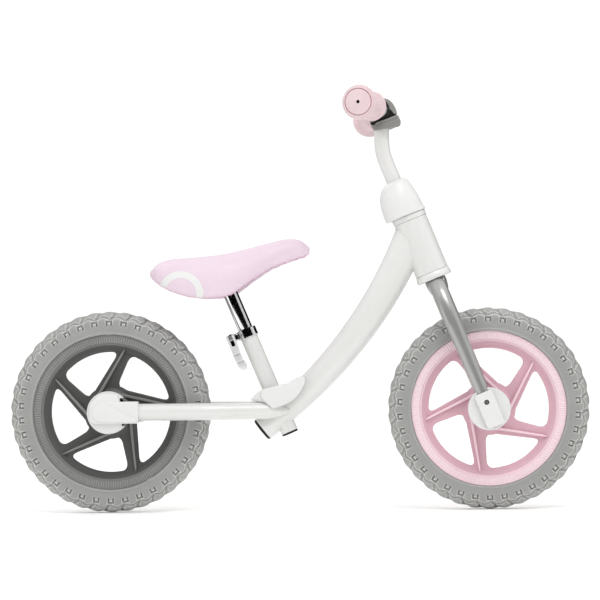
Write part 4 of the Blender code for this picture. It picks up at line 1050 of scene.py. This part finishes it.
def grips():
    """Ribbed pink grips with a bumper flange at each end and a small vent in the end face."""
    profile = [(2.5, -0.9), (2.5, 0.6), (3.1, 1.0), (4.2, 0.5), (17.4, 0.4), (18.3, 0), (18.7, -1.5),
               (19.5, -1.7), (20, -0.5), (20.8, -0.6), (21.7, -1.6), (22, -3), (22.1, -5.6), (22.5, -6.6),
               (23.6, -7.2), (24.6, -8.4), (25, -10), (24.6, -11.6), (23.4, -12.8), (20.4, -13.8),
               (17.6, -15.2), (16.4, -17)]
    place = -18.5
    while place > -97:
        profile += [(15.6, place), (15.6, place - 0.9), (16.3, place - 1.3), (16.5, place - 2.1),
                    (16.3, place - 2.9)]
        place -= 3.4
    profile += [(16, -98.4), (17.4, -99.4), (20.6, -100.2), (21.4, -101.2), (21.6, -102.6), (21.2, -104),
                (19.8, -104.9), (17, -105.6), (16.1, -106.8), (16.1, -116.6), (15.4, -118), (11.5, -118),
                (11.5, -4), (2.5, -4)]
    for side in (-1, 1):
        end = BAR_TURN @ Vector((BAR_END.x, side * BAR_END.y, BAR_END.z))
        start = BAR_TURN @ Vector((BAR_CENTRE.x - 0.4, side * BAR_STRAIGHT, BAR_CENTRE.z))
        outward = (end - start).normalized()
        spot = Matrix.Translation(end + outward * 4.2) @ outward.to_track_quat("Z", "X").to_matrix().to_4x4()
        mesh = lathe(profile, 72, spot)
        # The vent's black floor: painted shade in the hole.
        well = lathe([(0, -1.2), (2.49, -1.2), (2.49, -3), (0, -3)], 24, spot)
        name = f"grip_{side_name(side)}"
        piece(name + "_moulded", merged(mesh, (well, 1)), ["grip_rubber", PAINTED_SHADE_BLACK], "steering", [name], 50)


# --- seat ---

STATIONS = [
    (-216.5, 362.5, 345.5, 26), (-209, 370, 339.5, 43), (-190, 375.3, 329, 58), (-160, 377.3, 319.4, 66),
    (-130, 379.7, 316.6, 66), (-100, 384, 321.2, 60), (-84, 387.6, 330.8, 54), (-66, 392, 343.8, 47),
    (-38, 399.2, 360.6, 37), (-12, 404.8, 370.6, 28), (6, 402.4, 375.4, 22), (14, 394.5, 379.4, 16),
]
# Growth makes up for what the remesh takes off the pad; swell is the most the cushion moves its skin.
PAD_GROWTH = 1.006
PAD_SWELL = 1.4
PIPING_RADIUS = 0.6
SKIN_VOXEL = 3.4


def saddle_runs(steps):
    """The saddle's stations, smoothed; each is a Vector of X, top, skirt and half width in millimetres."""
    return through([Vector(station) for station in STATIONS], steps)


def pad_ring(station):
    """One section of the padded shell: domed over the top, tucked in at the skirt and hollow underneath."""
    x, top, skirt, half = station
    height = top - skirt
    floor = skirt + 0.42 * height
    shape = [(0.0, 0.0), (0.28, 0.008), (0.5, 0.03), (0.7, 0.09), (0.86, 0.21), (0.96, 0.38), (1.01, 0.58),
             (1.01, 0.78), (0.985, 0.93), (0.95, 1.0), (0.86, 1.0), (0.8, 0.94), (0.76, 0.7), (0.7, 0.585),
             (0.35, 0.58), (0.0, 0.58)]
    right = [(y * half, top - drop * height) for y, drop in shape]
    right[-1] = (0.0, floor)
    ring = right + [(-y, z) for y, z in right[-2:0:-1]]
    centre = (top + floor) / 2
    return [(x, y * PAD_GROWTH, centre + (z - centre) * PAD_GROWTH) for y, z in ring]


def end_rings(station, direction):
    """Rounds the shell off past its last station."""
    rings = []
    for t in (0.4, 0.7, 0.9, 0.98):
        size = (1 - t ** 3) ** (1 / 3)
        middle_height = (station[1] + station[2]) / 2
        half_height = (station[1] - station[2]) / 2 * size
        rings.append(pad_ring(Vector((station[0] + direction * 5.4 * t, middle_height + half_height,
                                      middle_height - half_height, station[3] * size))))
    return rings


def saddle():
    """Padded shell with piping round its lower edge, on a ribbed plastic base."""
    runs = saddle_runs(5)
    rings = end_rings(runs[0], -1)[::-1] + [pad_ring(station) for station in runs]
    rings += end_rings(runs[-1], 1)
    mesh = lattice(rings)
    pad = piece("saddle_padded_shell", mesh, "saddle_vinyl", "seat", ["saddle_pad"], 80)
    settle(pad)
    smooth = pad.modifiers.new("smooth", "SUBSURF")
    smooth.levels = 1
    smooth.render_levels = 1
    seam = []
    for side in (-1, 1):
        edge = [Vector((x, side * 0.955 * half, skirt + 0.4)) for x, _, skirt, half in runs[3:-2]]
        seam += edge if side < 0 else edge[::-1]
    front = [Vector((16, y, 384)) for y in (-6, 0, 6)]
    back = [Vector((-218.6, y, 350.6)) for y in (14, 0, -14)]
    half_count = len(seam) // 2
    loop = seam[:half_count] + front + seam[half_count:] + back
    skin = BVHTree.FromPolygons([vertex.co for vertex in pad.data.vertices],
                                [polygon.vertices for polygon in pad.data.polygons])
    loop = through([skin.find_nearest(point * MM)[0] / MM for point in loop + [loop[0]]], 2)
    piping = sweep(loop, [PIPING_RADIUS] * len(loop), 10)
    piece("saddle_edge_piping", piping, [SEAM_PINK, "saddle_vinyl"], "seat", corner=80)
    sections = []
    for x, top, skirt, half in saddle_runs(3)[5:-5]:
        floor = skirt + 0.42 * (top - skirt)
        wide = 0.6 * half
        outline = [(-wide, floor - 4), (-wide + 2, floor - 6), (wide - 2, floor - 6), (wide, floor - 4),
                   (wide, floor - 1.2), (-wide, floor - 1.2)]
        sections.append([(x, y, z) for y, z in outline])
    ribs = [brick((-185, y - 1.5, 338), (-110, y + 1.5, 341), 0.6) for y in (-22, 0, 22)]
    piece("saddle_base_shell", merged(lattice(sections), *ribs), "black_plastic", "seat", ["saddle_base"])


def settle(pad):
    """Blow the pad up softly as cloth, and keep how far it moves within what stuffed vinyl would."""
    remesh = pad.modifiers.new("even", "REMESH")
    remesh.mode = "VOXEL"
    remesh.voxel_size = SKIN_VOXEL * MM
    even_out = pad.modifiers.new("even out", "SMOOTH")
    even_out.iterations = 3
    bpy.context.view_layer.update()
    graph = bpy.context.evaluated_depsgraph_get()
    even = bpy.data.meshes.new_from_object(pad.evaluated_get(graph))
    pad.modifiers.clear()
    pad.data = even
    before = np.array([vertex.co[:] for vertex in even.vertices])
    cloth = pad.modifiers.new("cushion", "CLOTH")
    vinyl = {"quality": 6, "mass": 0.15, "tension_stiffness": 60, "compression_stiffness": 60,
             "shear_stiffness": 20, "bending_stiffness": 4, "use_pressure": True,
             "uniform_pressure_force": 4}
    for setting, value in vinyl.items():
        setattr(cloth.settings, setting, value)
    cloth.settings.effector_weights.gravity = 0
    cloth.collision_settings.use_collision = False
    scene = bpy.context.scene
    for step in range(1, 21):
        scene.frame_set(step)
    graph = bpy.context.evaluated_depsgraph_get()
    blown = bpy.data.meshes.new_from_object(pad.evaluated_get(graph))
    after = np.array([vertex.co[:] for vertex in blown.vertices])
    pad.modifiers.remove(cloth)
    scene.frame_set(1)
    move = after - before
    length = np.linalg.norm(move, axis=1)
    most = PAD_SWELL * MM
    move *= (np.minimum(length, most) / np.maximum(length, 1e-9))[:, None]
    even.vertices.foreach_set("co", (before + move).ravel())
    even.update()
    even.materials.clear()
    even.materials.append(FINISHES["saddle_vinyl"])
    even.shade_smooth()


def seat_post():
    post = lathe([(0, 78), (10.3, 78), (10.9, 77.4), (10.9, -67.4), (10.5, -68), (9.3, -68), (9.3, 76),
                  (0, 76)], 96, SEAT)
    marks = [lathe([(10.95, place + 0.25), (10.95, place - 0.25), (10.6, place - 0.25),
                    (10.6, place + 0.25)], 64, SEAT) for place in (-32, -30)]
    piece("seat_post_chrome", merged(post, *marks), "chrome", "seat", ["seat_post"])
    collar = lathe([(14.4, 13.8), (14.9, 13.2), (14.9, 1), (14.4, 0.3), (13, 0.3), (13, 11.9),
                    (12.9, 13.8)], 96)
    ears = brick((-32, -8, 1.5), (-13.2, 8, 13.2), 2.6, 5)
    split = brick((-40, -1.5, -5), (-8, 1.5, 20), 0.4)
    hole = rod(2.9, -20, 20, 32, Matrix.Translation((-25, 0, 8)) @ along_y(1))
    piece("seat_collar_chrome", carved(collar, [ears], [split, hole], 0, SEAT), "chrome", "frame",
          ["seat_collar"])
    rod_place = SEAT @ Matrix.Translation((-25, 0, 8)) @ along_y(1)
    nut = lathe([(2.8, 13.8), (5.4, 13.8), (7, 12.4), (7.5, 9.2), (7.5, 8.3), (2.8, 8.3)], 64, rod_place)
    piece("quick_release_nut", nut, "chrome", "frame", ["qr_nut"])


def lever():
    """Cam lever: a forked head round the pin and a stepped, dished blade with a round tip."""
    stations = [(3.6, -2.6, 5.2, 2.2, 0.0), (1.5, -2.9, 5.9, 3.0, 0.0), (-5, -3.4, 6.0, 3.1, 0.0),
                (-12, -3.4, 6.0, 2.6, 0.2), (-18, -3.6, 5.9, 2.0, 0.5), (-24.6, -5.2, 5.8, 1.8, 0.9),
                (-25.4, -3.6, 5.8, 1.8, 1.0), (-31, -3.6, 5.9, 1.7, 0.8), (-36.6, -5.0, 6.0, 1.7, 0.2),
                (-37.4, -3.4, 6.1, 1.7, 0.1), (-43, -3.6, 6.1, 1.6, -0.7), (-47, -3.2, 5.0, 1.5, -1.2),
                (-49.4, -3.0, 3.0, 1.2, -1.4), (-50.4, -2.9, 0.8, 0.6, -1.4)]
    rings = []
    for height, depth, half, thick, shift in stations:
        ring = []
        for angle in round_angles(28):
            c, s = cos(angle), sin(angle)
            x = half * abs(c) ** 0.45 * (1 if c > 0 else -1)
            y = thick * abs(s) ** 0.7 * (1 if s > 0 else -1)
            ring.append((x - shift, depth + y, height))
        rings.append(ring)
    blade = lattice(rings)
    across = Matrix.Rotation(pi / 2, 4, "Y")
    cam = rod(6.4, -6, 6, 64, across, 0.7)
    fork_slot = brick((-2.8, -12, -9.5), (2.8, 12, 14), 1)
    well = rod(2.8, -12, 12, 32, Matrix.Translation((0, 0, -9.2)) @ along_y(1))
    pin_hole = rod(2.3, -20, 20, 32, across)
    # A black block in the slot under the head: painted shade.
    slot_shade = brick((-2.9, -2.2, -11.6), (2.9, -1, -3), 0.4)
    steps = []
    for place, shift in ((-25.4, 1), (-37.4, 0.1)):
        step = brick((-5.6 - shift, -6.9, place), (5.4 - shift, -5.6, place + 0.9), 0.3)
        steps.append((step, 2))
    mesh = merged(carved(blade, [cam], [fork_slot, well, pin_hole]), (slot_shade, 1), *steps)
    mesh.transform(LEVER)
    piece("quick_release_lever", mesh, [SATIN_CHROME, PAINTED_SHADE_BLACK, "chrome"], "quick_release", ["qr_lever"],
          30)
    pin = rod(1.95, -6.6, 6.6, 32, LEVER @ across, 0.4)
    piece("quick_release_pin", pin, "steel", "quick_release", ["qr_pivot_pin"])


# --- build ---

tyre("front", FRONT_AXLE, "front_wheel", -1)
tyre("rear", REAR_AXLE, "rear_wheel", 1)
rim("front", FRONT_AXLE, "front_wheel", radians(46.0), -1)
rim("rear", REAR_AXLE, "rear_wheel", radians(4.3), 1)
for bike_side in (-1, 1):
    front_cover(bike_side)
    rear_cover(bike_side)
    nut_low = TIP_CENTRE + TIP_THICKNESS / 2 + 0.3
    for end, matrix, body in (("front", STEERING, "steering"), ("rear", REAR_END, "frame")):
        cad_name = f"{end}_axle_nut_{side_name(bike_side)}"
        nut_mesh = hex_nut(8.2, nut_low, nut_low + 5.2, 5.3, matrix @ along_y(bike_side))
        piece(cad_name + "_detail", nut_mesh, "steel", body, [cad_name])
frame_tubes()
head_weld()
junction_cover()
fork()
headset_dome()
stem_and_bar()
bar_clamp()
grips()
saddle()
seat_post()
lever()

for node_name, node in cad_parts.items():
    if not node.hide_render:
        for slot_index, old in enumerate(list(node.data.materials)):
            node.data.materials[slot_index] = FINISHES.get(old.name.split(".")[0], FINISHES["steel"])


# --- studio ---

def floor():
    shade = Shade("pale studio floor", 0.6, specular=0.2, glow=0.1)
    cloud = shade.noise(1.5, 3.0)
    shade.feed("Base Color", shade.mix(cloud.ramp(0.2, 0.8), rgb(254, 254, 253), rgb(252, 252, 251)))
    shade.feed("Roughness", 0.5 + cloud * 0.2)
    bm = bmesh.new()
    bmesh.ops.create_circle(bm, cap_ends=True, radius=40, segments=96)
    mesh = from_bmesh(bm)
    if mesh.polygons[0].normal.z < 0:
        mesh.flip_normals()
    mesh.materials.append(shade.material)
    obj = into_scene("studio_floor", mesh)


def softbox(name, place, aim, size, power):
    data = bpy.data.lights.new(name, "AREA")
    data.shape = "RECTANGLE"
    data.size, data.size_y = size
    data.energy = power
    obj = into_scene(name, data)
    obj.location = place
    obj.rotation_mode = "QUATERNION"
    obj.rotation_quaternion = (Vector(aim) - Vector(place)).to_track_quat("-Z", "Y")


def dark_card(name, azimuth, width, low, high, distance, finish):
    """A black card that only reflections see; it gives the plated parts their dark bands."""
    centre = radians(azimuth)
    rings = []
    for height in (low, high):
        rings.append([(distance * sin(a), -distance * cos(a),
                       height) for a in (centre + radians(width) * (i / 12 - 0.5) for i in range(13))])
    bm = bmesh.new()
    lower, upper = [[bm.verts.new(point) for point in ring] for ring in rings]
    for i in range(12):
        bm.faces.new((lower[i], lower[i + 1], upper[i + 1], upper[i]))
    mesh = from_bmesh(bm)
    mesh.materials.append(finish)
    obj = into_scene(name, mesh)
    for ray in ("camera", "diffuse", "shadow", "transmission", "volume_scatter"):
        setattr(obj, "visible_" + ray, False)


def studio():
    floor()
    scene = bpy.context.scene
    scene.view_settings.view_transform = "Standard"
    scene.view_settings.look = "None"
    world = bpy.data.worlds.new("studio white")
    world.use_nodes = True
    tent = Tree(world.node_tree, "Generated")
    away, up = tent.axis("Y"), tent.axis("Z")
    share = 0.56 + up.ramp(0.1, 0.9) * 0.25 + away.ramp(0.6, 0.9) * 0.26 - (0 - away).ramp(0.3, 0.9) * 0.08
    background = world.node_tree.nodes["Background"]
    world.node_tree.links.new(tent.mix(share, (0, 0, 0, 1), (1, 1, 1, 1)).socket, background.inputs["Color"])
    background.inputs["Strength"].default_value = 1.3
    scene.world = world
    softbox("key_softbox", (0.7, -1.8, 2.9), (0, 0, 0.3), (1.8, 1.4), 40)
    softbox("fill_softbox", (-2.0, 1.8, 2.0), (0, 0, 0.3), (1.6, 1.6), 14)
    softbox("side_softbox", (-2.2, -1.9, 1.3), (0, 0, 0.3), (0.5, 1.3), 7)
    dark_card("card_front", -2, 112, 0.0, 0.8, 0.85, PAINTED_SHADE_BLACK)
    dark_card("card_right", 140, 76, 0.0, 1.2, 1.6, PAINTED_SHADE_BLACK)
    dark_card("card_left", -134, 78, 0.0, 0.8, 0.75, FINISHES["clamp_grey"])


def camera():
    place = Vector((0.181, -4.8, 0.275))
    aim = Vector((0.0025, 0, 0.314))
    ahead = (aim - place).normalized()
    level = radians(0.667)
    right = Vector((cos(level), 0, -sin(level)))
    right = (right - ahead * right.dot(ahead)).normalized()
    up = right.cross(ahead)
    turn = Matrix((right, up, -ahead)).transposed()
    data = bpy.data.cameras.new("product_camera")
    data.lens = 193.14
    data.sensor_width = 36
    data.clip_end = 100
    obj = into_scene("product_camera", data)
    obj.matrix_world = Matrix.Translation(place) @ turn.to_4x4()
    bpy.context.scene.camera = obj


studio()
camera()
